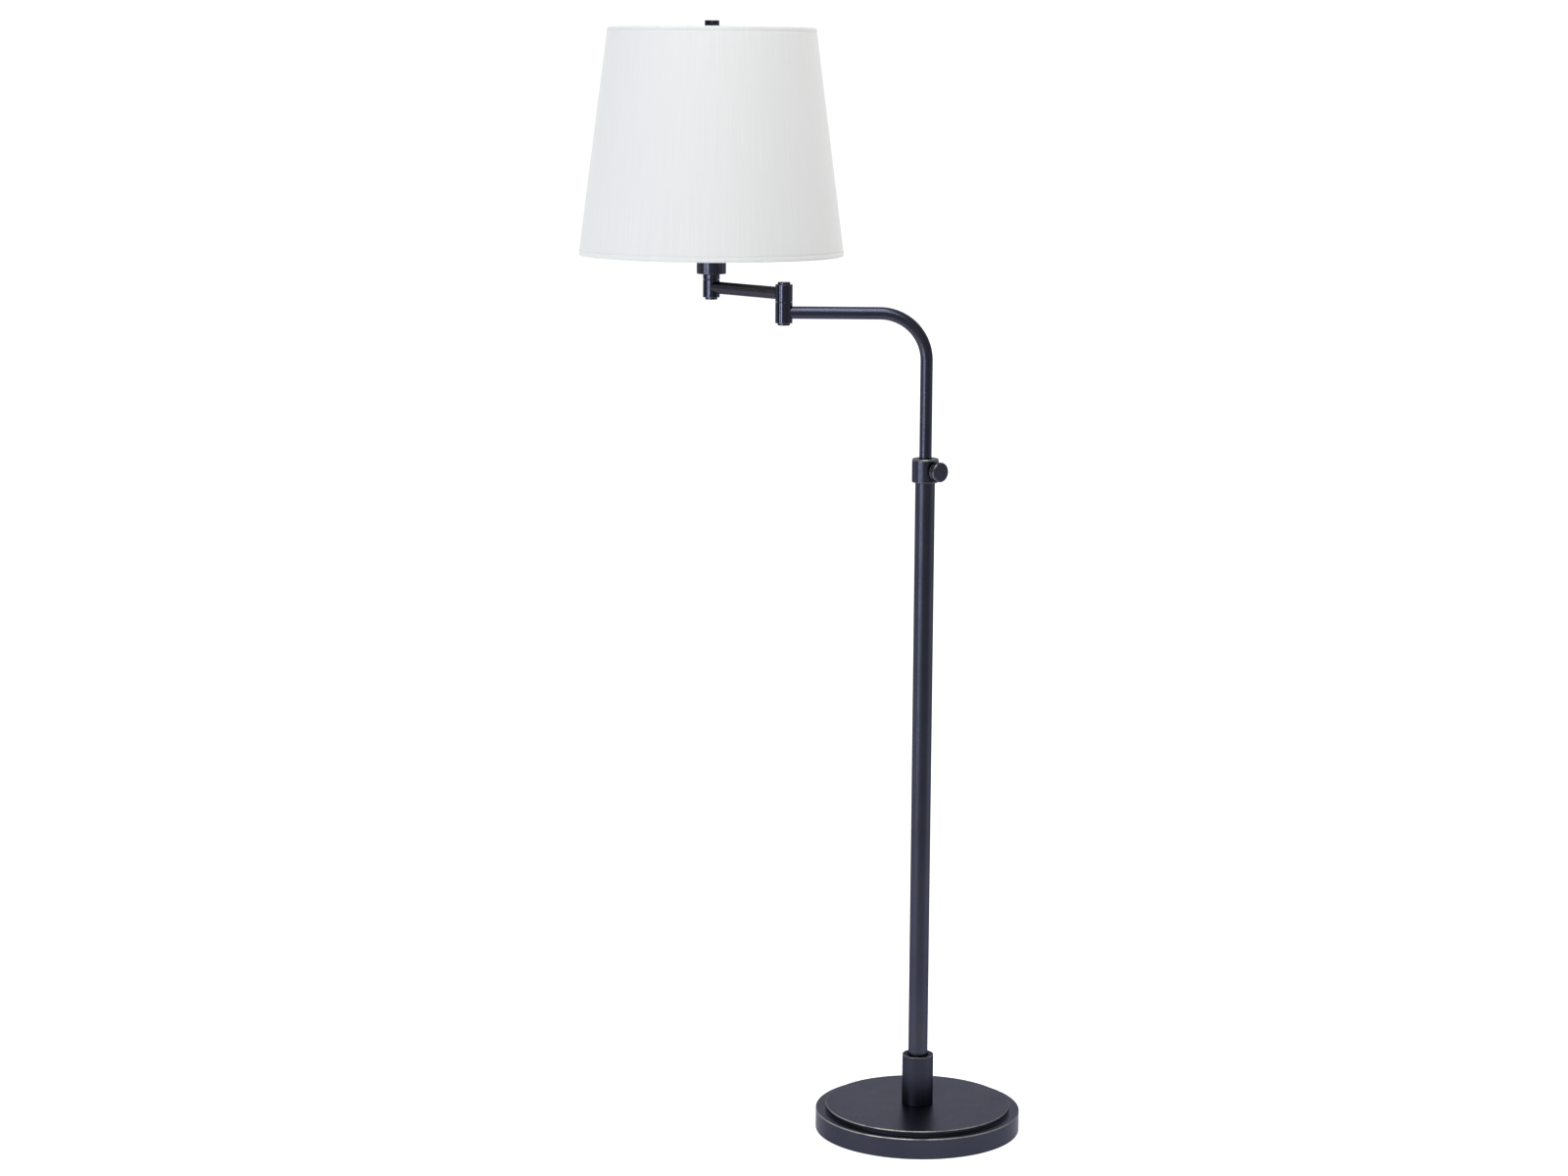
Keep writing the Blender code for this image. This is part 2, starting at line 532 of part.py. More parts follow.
# ---------------------------------------------------------------- head: socket, bulb, harp
def build_socket():
    place = Matrix.Translation(HEAD)
    body = HEAD_FRAME
    cap_nut("head_bottom_cap", HEAD, HEAD_LOW, -1, body)
    pivot = ring(NIPPLE_R, NIPPLE_BORE, HEAD_LOW - 0.0012, SOCKET_FOOT + 0.0025)
    turned("head_pivot", pivot, STEEL, TINY, body, place)
    neck = ring(BARREL_R, NIPPLE_HOLE, HEAD_SPLIT + SPLIT, NECK_TOP, 0.0003)
    turned("head_neck", neck, BRONZE, ROUND, body, place)
    floor = NECK_TOP + GAP
    turned("socket_cup", [
        (CUP_R, floor, 0.0008), (CUP_R, CUP_TOP), (CUP_R - 0.0011, CUP_TOP),
        (CUP_R - 0.0011, floor + 0.0015), (NIPPLE_HOLE, floor + 0.0015), (NIPPLE_HOLE, floor)],
        BRONZE, ROUND, body, place)
    hex_nut("socket_lock_nut", 0.0075, floor + 0.0035, SOCKET_FOOT - GAP, body, HEAD)

    cap_inner = SOCKET_CAP_R - 0.0007
    cap_top = SOCKET_FOOT + 0.0130
    cap_floor = SOCKET_FOOT + 0.0008
    turned("socket_cap", [
        (SOCKET_CAP_R, SOCKET_FOOT, 0.002), (SOCKET_CAP_R, cap_top), (cap_inner, cap_top),
        (cap_inner, cap_floor), (NIPPLE_HOLE, cap_floor), (NIPPLE_HOLE, SOCKET_FOOT)],
        BRASS, SMALL, body, place)
    switch = -Vector((0.0, 1.0, 0.0))
    centre = HEAD + Vector((0.0, 0.0, SWITCH_Z))
    bore = cylinder_cutter("switch_hole", 0.0032, centre + switch * 0.006, centre + switch * 0.025, TINY)
    shell_inner = SOCKET_SHELL_R - 0.0006
    liner_outer = shell_inner - GAP
    outer_skin = ring(SOCKET_SHELL_R, shell_inner, SOCKET_FOOT + 0.0050, SOCKET_TOP)
    shell = turned("socket_shell", outer_skin, BRASS, SMALL, body, place)
    card = ring(liner_outer, liner_outer - 0.0004, SOCKET_FOOT + 0.0092, SOCKET_TOP)
    liner = turned("socket_liner", card, FIBRE, SMALL, body, place)
    insulator_foot = SOCKET_FOOT + 0.0090
    insulator = turned("socket_insulator", [
        (0.0, INSULATOR_TOP), (INSULATOR_R, INSULATOR_TOP), (INSULATOR_R, insulator_foot),
        (0.0, insulator_foot)],
        PHENOLIC, SMALL, body, place, closed=False)
    for piece in (shell, liner, insulator):
        boolean(piece, bore)
    floor = INSULATOR_TOP + GAP
    turned("screw_shell", ring(INSULATOR_R, INSULATOR_R - 0.0005, floor, SOCKET_TOP - 0.0030),
           BRASS, SMALL, body, place)
    contact_r = 0.0040
    contact_top = floor + 0.0025
    contact = [(0.0, contact_top), (contact_r, contact_top), (contact_r, floor), (0.0, floor)]
    turned("centre_contact", contact, BRASS, TINY, body, place, closed=False)

    lie = along(switch, centre)
    knob_in, knob_out = SWITCH_KNOB
    shaft_r = 0.0020
    shaft_end = knob_in + 0.0050
    hole_r = shaft_r + GAP
    turned("switch_shaft", [(0.0, 0.0064), (shaft_r, 0.0064), (shaft_r, shaft_end), (0.0, shaft_end)],
           BRASS, TINY, SWITCH_FRAME, lie, closed=False)
    turned("switch_knob", [
        (0.0, knob_out), (0.0045, knob_out, 0.0010), (0.0060, knob_in, 0.0006), (hole_r, knob_in),
        (hole_r, shaft_end + GAP), (0.0, shaft_end + GAP)], PHENOLIC, TINY, SWITCH_FRAME, lie, closed=False)


def build_bulb():
    place = Matrix.Translation(HEAD)
    foot = BULB_FOOT
    turned("bulb_base", [
        (0.0, foot), (0.0040, foot), (0.0125, foot + 0.0035), (0.0128, foot + 0.0050),
        (0.0128, foot + 0.0260), (0.0123, foot + 0.0260), (0.0123, foot + 0.0055), (0.0, foot + 0.0055)],
        STEEL, SMALL, HEAD_FRAME, place, closed=False)
    globe = GLOBE_R
    neck = 0.0118
    centre = foot + BULB_TALL - globe
    outer = []
    for step in range(7):
        angle = math.radians(90 - 21 * step)
        outer.append((globe * math.cos(angle), centre + globe * math.sin(angle)))
    outer[0] = (0.0, centre + globe)
    outer += [(0.0185, foot + 0.0450), (0.0140, foot + 0.0340), (neck, foot + 0.0270), (neck, foot + 0.0080)]
    wall = 0.0009
    inner = [(neck - wall, foot + 0.0080), (neck - wall, foot + 0.0270), (0.0140 - wall, foot + 0.0340),
             (0.0185 - wall, foot + 0.0450)]
    for step in range(6, -1, -1):
        angle = math.radians(90 - 21 * step)
        inner.append(((globe - wall) * math.cos(angle), centre + (globe - wall) * math.sin(angle)))
    inner[-1] = (0.0, centre + globe - wall)
    turned("bulb_glass", outer + inner, GLASS, SMALL, HEAD_FRAME, place, closed=False)


def build_harp():
    body = HEAD_FRAME
    floor = NECK_TOP + GAP + 0.0015 + GAP
    stand = 0.0171
    lift = STRAP_T / 2
    half = [(0.0, floor + lift, 0.0070), (0.0100, floor + lift, 0.0070),
            (stand - 0.0025, floor + lift, 0.0040), (stand - 0.0007, floor + lift + 0.0007, 0.0030),
            (stand, floor + lift + 0.0025, 0.0025),
            (stand, CUP_TOP + 0.0010, 0.0025), (HARP_FOOT_X, CUP_TOP + 0.0060, 0.0025),
            (HARP_FOOT_X, HARP_FOOT_Z - 0.0005, 0.0025)]
    path = [(-x, z, w) for x, z, w in reversed(half[1:])] + half
    mesh = bpy.data.meshes.new("harp_saddle")
    corners = [(x, side * w, z) for x, z, w in path for side in (-1, 1)]
    faces = [(2 * i, 2 * i + 2, 2 * i + 3, 2 * i + 1) for i in range(len(path) - 1)]
    mesh.from_pydata(corners, [], faces)
    saddle = add("harp_saddle", mesh, STEEL, body, Matrix.Translation(HEAD))
    strap = saddle.modifiers.new("strap", "SOLIDIFY")
    strap.thickness = STRAP_T
    strap.offset = 0.0
    middle = HEAD + Vector((0.0, 0.0, floor))
    reach = Vector((0.0, 0.0, 0.01))
    boolean(saddle, cylinder_cutter("saddle_hole", NIPPLE_HOLE, middle - reach, middle + reach, TINY))

    for name, side in (("harp_ferrule_left", -1), ("harp_ferrule_right", 1)):
        spot = HEAD + Vector((side * HARP_FOOT_X, 0.0, 0.0))
        sleeve = ring(0.0038, 0.0030, HARP_FOOT_Z - 0.0080, HARP_FOOT_Z + 0.0080)
        turned(name, sleeve, BRASS, TINY, body, Matrix.Translation(spot))

    wire_top = SPIDER_Z - 0.0060
    wire_low = HARP_FOOT_Z
    legs = 16
    loop = []
    for step in range(legs + 1):
        t = step / legs
        x = harp_half_width(t)
        loop.append(HEAD + Vector((x, 0.0, wire_low + (wire_top - wire_low) * harp_rise(t))))
    mirrored = [Vector((2 * HEAD.x - p.x, p.y, p.z)) for p in reversed(loop[:-1])]
    wire("harp", loop + mirrored, HARP_WIRE, STEEL, body)

    seat = wire_top + HARP_WIRE + GAP
    turned("harp_top_stud", [
        (0.0, FINIAL_TOP - 0.0120), (0.0030, FINIAL_TOP - 0.0120), (0.0030, SPIDER_Z - GAP),
        (0.0060, SPIDER_Z - GAP), (0.0060, seat), (0.0, seat)],
        BRASS, TINY, body, Matrix.Translation(HEAD), closed=False)


def harp_half_width(t):
    """Half the harp's width from its foot, t = 0, to its crown, t = 1."""
    if t < 0.5:
        blend = 0.5 - 0.5 * math.cos(math.pi * t / 0.5)
        return HARP_FOOT_X + (HARP_HALF - HARP_FOOT_X) * blend
    return HARP_HALF * math.cos(math.pi / 2 * (t - 0.5) / 0.5)


def harp_rise(t):
    """Height along the harp as a share of its whole height."""
    belly = 0.62
    if t < 0.5:
        return belly * t / 0.5
    return belly + (1 - belly) * math.sin(math.pi / 2 * (t - 0.5) / 0.5)


# ---------------------------------------------------------------- shade and finial
def shade_radius(z):
    share = (z - SHADE_LOW) / (SHADE_TOP - SHADE_LOW)
    return SHADE_R_LOW + (SHADE_R_TOP - SHADE_R_LOW) * share


def build_shade():
    body = HEAD_FRAME
    place = Matrix.Translation(HEAD)
    turned("shade_shell", [
        (SHADE_R_TOP, SHADE_TOP), (SHADE_R_LOW, SHADE_LOW), (SHADE_R_LOW - SHADE_T, SHADE_LOW),
        (SHADE_R_TOP - SHADE_T, SHADE_TOP)], LINEN, FINE, body, place)
    inset = SHADE_T + RING_WIRE + GAP + 0.0002
    top_ring_z = SHADE_TOP - 0.0022
    sides = 6
    for name, z in (("shade_top_ring", top_ring_z), ("shade_bottom_ring", SHADE_LOW + 0.0022)):
        profile = []
        for i in range(sides):
            angle = 2 * math.pi * i / sides
            reach = shade_radius(z) - inset + RING_WIRE * math.cos(angle)
            profile.append((reach, z + RING_WIRE * math.sin(angle)))
        turned(name, profile, STEEL, 48, body, place)

    hub = ring(0.0110, FINIAL_BORE, SPIDER_Z, SPIDER_Z + HUB_T)
    spider = turned("shade_spider", hub, STEEL, SMALL, body, place)
    end = shade_radius(top_ring_z) - inset - RING_WIRE - GAP
    for i, bearing in enumerate((30, 150, 270)):
        out = Vector((math.cos(math.radians(bearing)), math.sin(math.radians(bearing)), 0.0))
        level = Vector((0.0, 0.0, SPIDER_Z + HUB_T / 2))
        raised = Vector((0.0, 0.0, top_ring_z))
        route = [HEAD + out * 0.0085 + level, HEAD + out * 0.0200 + level,
                 HEAD + out * (end - 0.012) + raised, HEAD + out * end + raised]
        spoke = wire(f"spoke_{i + 1}", route, SPOKE_WIRE, STEEL, sides=1)
        PARTS.objects.unlink(spoke)
        CUTTERS.objects.link(spoke)
        spoke.hide_render = True
        spoke.display_type = "WIRE"
        boolean(spider, spoke, "UNION")


def build_finial():
    foot = SPIDER_Z + HUB_T + GAP
    top = FINIAL_TOP
    neck = 0.0065
    bore_end = top - 0.0115
    turned("finial", [
        (0.0, top), (FINIAL_R, top, 0.0005), (FINIAL_R, foot + 0.0050), (neck, foot + 0.0030), (neck, foot),
        (FINIAL_BORE, foot), (FINIAL_BORE, bore_end), (0.0, bore_end)],
        BRONZE, SMALL, FINIAL_FRAME, Matrix.Translation(HEAD), closed=False)


build_base()
build_clamp()
build_mast()
build_elbow()
build_swing_arm()
build_socket()
build_bulb()
build_harp()
build_shade()
build_finial()
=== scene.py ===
"""Looks of the pharmacy floor lamp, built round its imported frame."""

import json
import math

import bmesh
import bpy
from mathutils import Matrix, Vector


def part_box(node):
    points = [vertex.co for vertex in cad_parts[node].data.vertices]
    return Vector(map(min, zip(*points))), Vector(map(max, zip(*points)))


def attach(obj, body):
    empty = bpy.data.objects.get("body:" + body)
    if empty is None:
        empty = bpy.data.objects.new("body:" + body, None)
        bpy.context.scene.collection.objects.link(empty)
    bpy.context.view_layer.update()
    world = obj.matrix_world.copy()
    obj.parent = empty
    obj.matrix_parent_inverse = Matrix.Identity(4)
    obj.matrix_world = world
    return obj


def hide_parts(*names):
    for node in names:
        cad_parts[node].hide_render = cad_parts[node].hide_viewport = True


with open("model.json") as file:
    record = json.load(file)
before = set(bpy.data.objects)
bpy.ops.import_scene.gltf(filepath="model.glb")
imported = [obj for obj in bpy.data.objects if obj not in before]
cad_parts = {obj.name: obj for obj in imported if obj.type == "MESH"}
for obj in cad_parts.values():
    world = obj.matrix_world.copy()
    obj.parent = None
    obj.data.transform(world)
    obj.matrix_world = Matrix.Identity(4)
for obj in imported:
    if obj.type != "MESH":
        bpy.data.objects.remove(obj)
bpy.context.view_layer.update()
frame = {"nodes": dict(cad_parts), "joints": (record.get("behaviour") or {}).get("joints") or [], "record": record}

JOINTS = {joint["name"]: joint for joint in frame["joints"]}


def axis_point(joint):
    return Vector(JOINTS[joint]["pos_m"])


ELBOW = axis_point("elbow_swing")
HEAD = axis_point("head_swivel")
SCREW = Vector(JOINTS["thumb_screw_turn"]["axis"]).normalized()
SCREW_Z = axis_point("thumb_screw_turn").z
ARM_DIR = (HEAD.xy - ELBOW.xy).to_3d().normalized()
UP = Vector((0.0, 0.0, 1.0))


def low(node):
    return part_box(node)[0]


def high(node):
    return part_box(node)[1]


def radius(node):
    return (high(node).x - low(node).x) / 2


# sizes in metres that a node's box doesn't give
GAP = 0.0003                  # clearance between neighbours
COVER_T = 0.0016              # sheet of the base cover
DISC_R = 0.1207               # the cover's raised disc
WALL_TOP = 0.0270             # top of the cover's outer wall
INLET_R = 0.0045              # cord inlet in the rear wall
NIPPLE_HOLE = 0.0052          # hole for a threaded nipple or pivot
POLE_WALL = 0.0015
TUBE_R = 0.00792              # mast and swing arm
TUBE_WALL = 0.0012
MAST_BEND = 0.0600

KNOB_FACE = 0.0325            # thumb knob: distance of its face from the pole's axis
KNOB_T = 0.0095
KNOB_R = 0.0127
KNOB_NECK_R = 0.0052
KNOB_BORE_R = 0.0029
KNOB_BORE_DEPTH = 0.0043

BARREL_R = 0.0110             # knuckles
CAP_R = 0.0080
CAP_SINK = 0.0026
WASHER_R = 0.0088

CUP_WALL = 0.0011             # socket cup and shell
SHELL_R = 0.0152
SHELL_BORE = 0.0146
SHELL_BEAD = 0.0005           # groove round the socket shell

BULB_R = 0.0300
BULB_NECK = 0.0118
BULB_WALL = 0.0009
HARP_WIRE = 0.0017
HARP_REACH = 0.0550           # half the harp's greatest width
STUD_R = 0.0030
STUD_PITCH = 0.0009

SHADE_R_TOP = 0.1348
RING_BEAD = 0.0019            # radius of the cloth rolled round a ring wire
RING_WIRE = 0.0015
CLOTH_T = 0.0005
CLOTH_GAP = 0.0002            # clearance between the cloth and what it covers
HEM = 0.0090                  # cloth turned in past a ring
BACKING_T = 0.0004
PANELS = 40                   # rows of faces up the shade's side
CREASE = 0.0046               # the crease beside each rolled edge: its place, half width and depth
CREASE_HALF = 0.0008
CREASE_DEPTH = 0.00035
LAP = 0.0120                  # the cloth's lap at its seam
SEAM_BEARING = math.radians(78)
SPOKE_WIRE = 0.0014
SPOKE_BEARINGS = (30, 150, 270)
SPOKE_START = 0.0095          # distance of a spoke's inner end from the axis

GLINT_BEARING = math.radians(256)    # bearing where the base's edges are palest: wear, with a painted highlight

FLOOR_R = 14.0                # studio
FLOOR_GLOW = 0.92
GLOW_FROM, GLOW_TO = -1.15, -0.21    # the glow grows between these places on the floor, front to back
SKY_BACK = 1.06
SKY_LEFT = (0.10, 0.12, 0.16)
SKY_FRONT = (0.50, 0.51, 0.53)
SKY_RIGHT = (0.34, 0.34, 0.31)


# ---------------------------------------------------------------- mesh building
def outline(points, steps=5, support=0.0004):
    """Turn (r, z, fillet, wear_and_glint) corners into (r, z, wear_and_glint) points, with an arc at each filleted
    corner.

    Support points beside each arc keep the flat stretches flat under smooth shading.
    """
    made = []
    count = len(points)
    for i, point in enumerate(points):
        corner = Vector(point[:2])
        fillet = point[2] if len(point) > 2 else 0.0
        wear_and_glint = point[3] if len(point) > 3 else 0.0
        if fillet == 0.0:
            made.append((corner.x, corner.y, wear_and_glint))
            continue
        to_last = Vector(points[i - 1][:2]) - corner
        to_next = Vector(points[(i + 1) % count][:2]) - corner
        before, after = to_last.normalized(), to_next.normalized()
        half = before.angle(after) / 2
        back = fillet / math.tan(half)
        centre = corner + (before + after).normalized() * (fillet / math.sin(half))
        start = corner + before * back - centre
        turn = start.angle_signed(corner + after * back - centre)
        if to_last.length > back + 2 * support:
            edge = corner + before * (back + support)
            made.append((edge.x, edge.y, 0.0))
        for step in range(steps + 1):
            spot = centre + Matrix.Rotation(-turn * step / steps, 2) @ start
            made.append((spot.x, spot.y, wear_and_glint))
        if to_next.length > back + 2 * support:
            edge = corner + after * (back + support)
            made.append((edge.x, edge.y, 0.0))
    return made


def mesh_from(name, verts, faces, wear_and_glint=None):
    mesh = bpy.data.meshes.new(name)
    mesh.from_pydata([tuple(v) for v in verts], [], faces)
    if wear_and_glint is not None:
        layer = mesh.attributes.new("wear_and_glint", "FLOAT", "POINT")
        layer.data.foreach_set("value", wear_and_glint)
    work = bmesh.new()
    work.from_mesh(mesh)
    bmesh.ops.recalc_face_normals(work, faces=work.faces)
    work.to_mesh(mesh)
    work.free()
    mesh.update()
    return mesh


def lathe_mesh(name, profile, segments=96, flute=None, rubbed=None):
    """Spin (r, z, wear_and_glint) points round Z. A point on the axis becomes one vertex.

    flute(angle, z) scales r, and rubbed is the bearing where the edges are palest: wear there, with a painted
    highlight.
    """
    verts, wear_and_glint, rows = [], [], []
    for r, z, worn_glint in profile:
        if r < 1e-7:
            rows.append([len(verts)] * segments)
            verts.append((0.0, 0.0, z))
            wear_and_glint.append(worn_glint)
            continue
        row = []
        for k in range(segments):
            angle = 2 * math.pi * k / segments
            reach = r * (flute(angle, z) if flute else 1.0)
            row.append(len(verts))
            verts.append((reach * math.cos(angle), reach * math.sin(angle), z))
            # painted highlight: the pale edge colour grows towards the rubbed bearing
            glint_favour = 1.0 if rubbed is None else (0.5 + 0.5 * math.cos(angle - rubbed)) ** 3
            wear_and_glint.append(worn_glint * glint_favour)
        rows.append(row)
    faces = []
    closed = profile[0][0] > 1e-7
    pairs = list(zip(rows, rows[1:])) + ([(rows[-1], rows[0])] if closed else [])
    for a, b in pairs:
        for k in range(segments):
            n = (k + 1) % segments
            corners = [a[k], a[n], b[n], b[k]]
            kept = [c for j, c in enumerate(corners) if c != corners[j - 1]]
            if len(kept) > 2:
                faces.append(kept)
    return mesh_from(name, verts, faces, wear_and_glint)


def frames_along(path, closed=False):
    """A tangent and a normal at each point of a path, carried along without twist."""
    count = len(path)
    tangents = []
    for i in range(count):
        if closed:
            step = path[(i + 1) % count] - path[i - 1]
        else:
            step = path[min(i + 1, count - 1)] - path[max(i - 1, 0)]
        tangents.append(step.normalized())
    seed = UP if abs(tangents[0].dot(UP)) < 0.9 else Vector((1.0, 0.0, 0.0))
    normal = (seed - tangents[0] * seed.dot(tangents[0])).normalized()
    frames = []
    for tangent in tangents:
        normal = (normal - tangent * normal.dot(tangent)).normalized()
        frames.append((tangent, normal, tangent.cross(normal)))
    return frames


def swept_mesh(name, path, wire, sides=24, closed=False, inner=None, trim=None):
    """A round bar or tube along a path. trim(point, i) moves the points of its first and last rows."""
    frames = frames_along(path, closed)
    verts, faces = [], []

    def skin(reach):
        rows = []
        for i, (place, (_, normal, side)) in enumerate(zip(path, frames)):
            row = []
            for k in range(sides):
                angle = 2 * math.pi * k / sides
                spot = place + (normal * math.cos(angle) + side * math.sin(angle)) * reach
                if trim and i in (0, len(path) - 1):
                    spot = trim(spot, i)
                row.append(len(verts))
                verts.append(spot)
            rows.append(row)
        return rows

    outer = skin(wire)
    pairs = list(zip(outer, outer[1:]))
    if closed:
        pairs.append((outer[-1], outer[0]))
    if inner:
        bore = skin(inner)
        pairs += list(zip(bore, bore[1:])) + [(outer[0], bore[0]), (outer[-1], bore[-1])]
    elif not closed:
        faces += [outer[0], outer[-1]]
    for a, b in pairs:
        faces += [[a[k], a[(k + 1) % sides], b[(k + 1) % sides], b[k]] for k in range(sides)]
    return mesh_from(name, verts, faces, [0.0] * len(verts))


def piece(name, mesh, body, finish, stands_for=(), matrix=None, sharp=35.0):
    """Put a mesh in the scene as one piece that rides on a body and stands for CAD nodes."""
    made = bpy.data.objects.new(name, mesh)
    bpy.context.scene.collection.objects.link(made)
    mesh.materials.append(finish)
    mesh.shade_smooth()
    mesh.set_sharp_from_angle(angle=math.radians(sharp))
    if matrix is not None:
        made.matrix_world = matrix
    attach(made, body)
    if stands_for:
        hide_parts(*stands_for)
    return made


def turned(name, profile, segments, body, slot, finish, stands_for=(), matrix=None, **shape):
    """A lathed piece. shape goes on to lathe_mesh."""
    return piece(name, lathe_mesh(name, profile, segments, **shape), body, finish, stands_for, matrix)


def at(point):
    return Matrix.Translation((point.x, point.y, 0.0))


def facing(direction, origin):
    """A matrix that turns local +Z to a direction and moves to an origin."""
    return Matrix.Translation(origin) @ direction.to_track_quat("Z", "Y").to_matrix().to_4x4()


# ---------------------------------------------------------------- materials
class Shader:
    """A node material with one Principled BSDF, and short calls to add nodes to it."""

    def __init__(self, name, **values):
        self.material = bpy.data.materials.new(name)
        self.material.use_nodes = True
        self.tree = self.material.node_tree
        self.bsdf = self.tree.nodes["Principled BSDF"]
        for key, value in values.items():
            self.bsdf.inputs[key.replace("_", " ").title().replace("Ior", "IOR")].default_value = value

    def node(self, kind, inputs=None, **settings):
        made = self.tree.nodes.new(kind)
        for key, value in settings.items():
            setattr(made, key, value)
        for key, value in (inputs or {}).items():
            if isinstance(value, bpy.types.NodeSocket):
                self.tree.links.new(value, made.inputs[key])
            else:
                made.inputs[key].default_value = value
        return made

    def coords(self, scale=(1.0, 1.0, 1.0)):
        spot = self.node("ShaderNodeTexCoord").outputs["Object"]
        return self.node("ShaderNodeMapping", {"Vector": spot, "Scale": scale}).outputs["Vector"]

    def noise(self, scale, detail=3.0, roughness=0.5, stretch=(1.0, 1.0, 1.0), distortion=0.0):
        inputs = {"Vector": self.coords(stretch), "Scale": scale, "Detail": detail,
                  "Roughness": roughness, "Distortion": distortion}
        return self.node("ShaderNodeTexNoise", inputs).outputs["Fac"]

    def attribute(self, name):
        return self.node("ShaderNodeAttribute", attribute_name=name).outputs["Fac"]

    def math(self, operation, a, b=0.0, clamp=False):
        made = self.node("ShaderNodeMath", operation=operation, use_clamp=clamp)
        for socket, value in zip(made.inputs, (a, b)):
            if isinstance(value, bpy.types.NodeSocket):
                self.tree.links.new(value, socket)
            else:
                socket.default_value = value
        return made.outputs[0]

    def remap(self, value, from_low, from_high, to_low=0.0, to_high=1.0):
        inputs = {"Value": value, "From Min": from_low, "From Max": from_high,
                  "To Min": to_low, "To Max": to_high}
        return self.node("ShaderNodeMapRange", inputs).outputs["Result"]

    def mix(self, factor, a, b):
        made = self.node("ShaderNodeMix", data_type="RGBA")
        for socket, value in ((made.inputs[0], factor), (made.inputs[6], a), (made.inputs[7], b)):
            if isinstance(value, bpy.types.NodeSocket):
                self.tree.links.new(value, socket)
            else:
                socket.default_value = (*value, 1.0) if isinstance(value, tuple) else value
        return made.outputs[2]

    def bump(self, height, strength, distance, under=None):
        inputs = {"Height": height, "Strength": strength, "Distance": distance}
        if under is not None:
            inputs["Normal"] = under
        return self.node("ShaderNodeBump", inputs).outputs["Normal"]

    def set(self, socket, value):
        self.tree.links.new(value, self.bsdf.inputs[socket])


def bronze(name, roughness, tint=(1.0, 1.0, 1.0), brush=(40.0, 40.0, 1400.0), edge=0.45):
    """Oil-rubbed bronze: blue-black patina with browner patches and fine brushing, pale at the edges from wear and
    a painted glint.
    """
    s = Shader(name, metallic=1.0, roughness=roughness)
    s.bsdf.inputs["Specular Tint"].default_value = (edge, edge, edge * 1.08, 1.0)

    def tone(r, g, b):
        return r * tint[0], g * tint[1], b * tint[2]

    cloud = s.remap(s.noise(7.0, 4.0, 0.55), 0.35, 0.70)
    patina = s.mix(cloud, tone(0.042, 0.044, 0.066), tone(0.053, 0.056, 0.081))
    patch = s.remap(s.noise(38.0, 5.0, 0.6), 0.52, 0.72, 0.0, 0.35)
    patina = s.mix(patch, patina, tone(0.062, 0.056, 0.060))
    # the pale edge colour is partly wear and partly a painted glint along the edges
    rub_and_glint = s.math("MULTIPLY", s.attribute("wear_and_glint"), s.remap(s.noise(40.0, 4.0, 0.6), 0.22, 0.52))
    s.set("Base Color", s.mix(rub_and_glint, patina, (0.58, 0.55, 0.49)))
    grain = s.noise(1.0, 2.0, 0.6, brush)
    rough = s.remap(s.noise(16.0, 4.0), 0.25, 0.75, roughness - 0.04, roughness + 0.05)
    s.set("Roughness", s.math("ADD", rough, s.remap(grain, 0.3, 0.7, -0.02, 0.02)))
    orange = s.bump(s.noise(420.0, 2.0), 0.02, 0.00006)
    s.set("Normal", s.bump(grain, 0.012, 0.00004, orange))
    return s.material


def metal(name, colour, roughness, dull=0.6):
    """Bare or plated metal with a little tarnish and drawing marks."""
    s = Shader(name, metallic=1.0, roughness=roughness)
    dark = tuple(c * dull for c in colour)
    tarnish = s.remap(s.noise(60.0, 5.0, 0.6), 0.38, 0.75)
    s.set("Base Color", s.mix(tarnish, colour, dark))
    s.set("Roughness", s.remap(s.noise(140.0, 3.0), 0.3, 0.7, roughness - 0.07, roughness + 0.1))
    s.set("Normal", s.bump(s.noise(1.0, 2.0, 0.6, (90.0, 90.0, 2400.0)), 0.12, 0.0001))
    return s.material


def moulded(name, colour, roughness, grain=900.0, depth=0.0001, spread=0.8):
    """Moulded plastic, card or casting: fine grain and slight colour variation."""
    s = Shader(name, roughness=roughness)
    other = tuple(min(1.0, c * spread) for c in colour)
    s.set("Base Color", s.mix(s.remap(s.noise(45.0, 4.0), 0.3, 0.7), colour, other))
    s.set("Roughness", s.remap(s.noise(80.0, 3.0), 0.3, 0.7, roughness - 0.05, roughness + 0.08))
    s.set("Normal", s.bump(s.noise(grain, 3.0, 0.6), 0.35, depth))
    return s.material


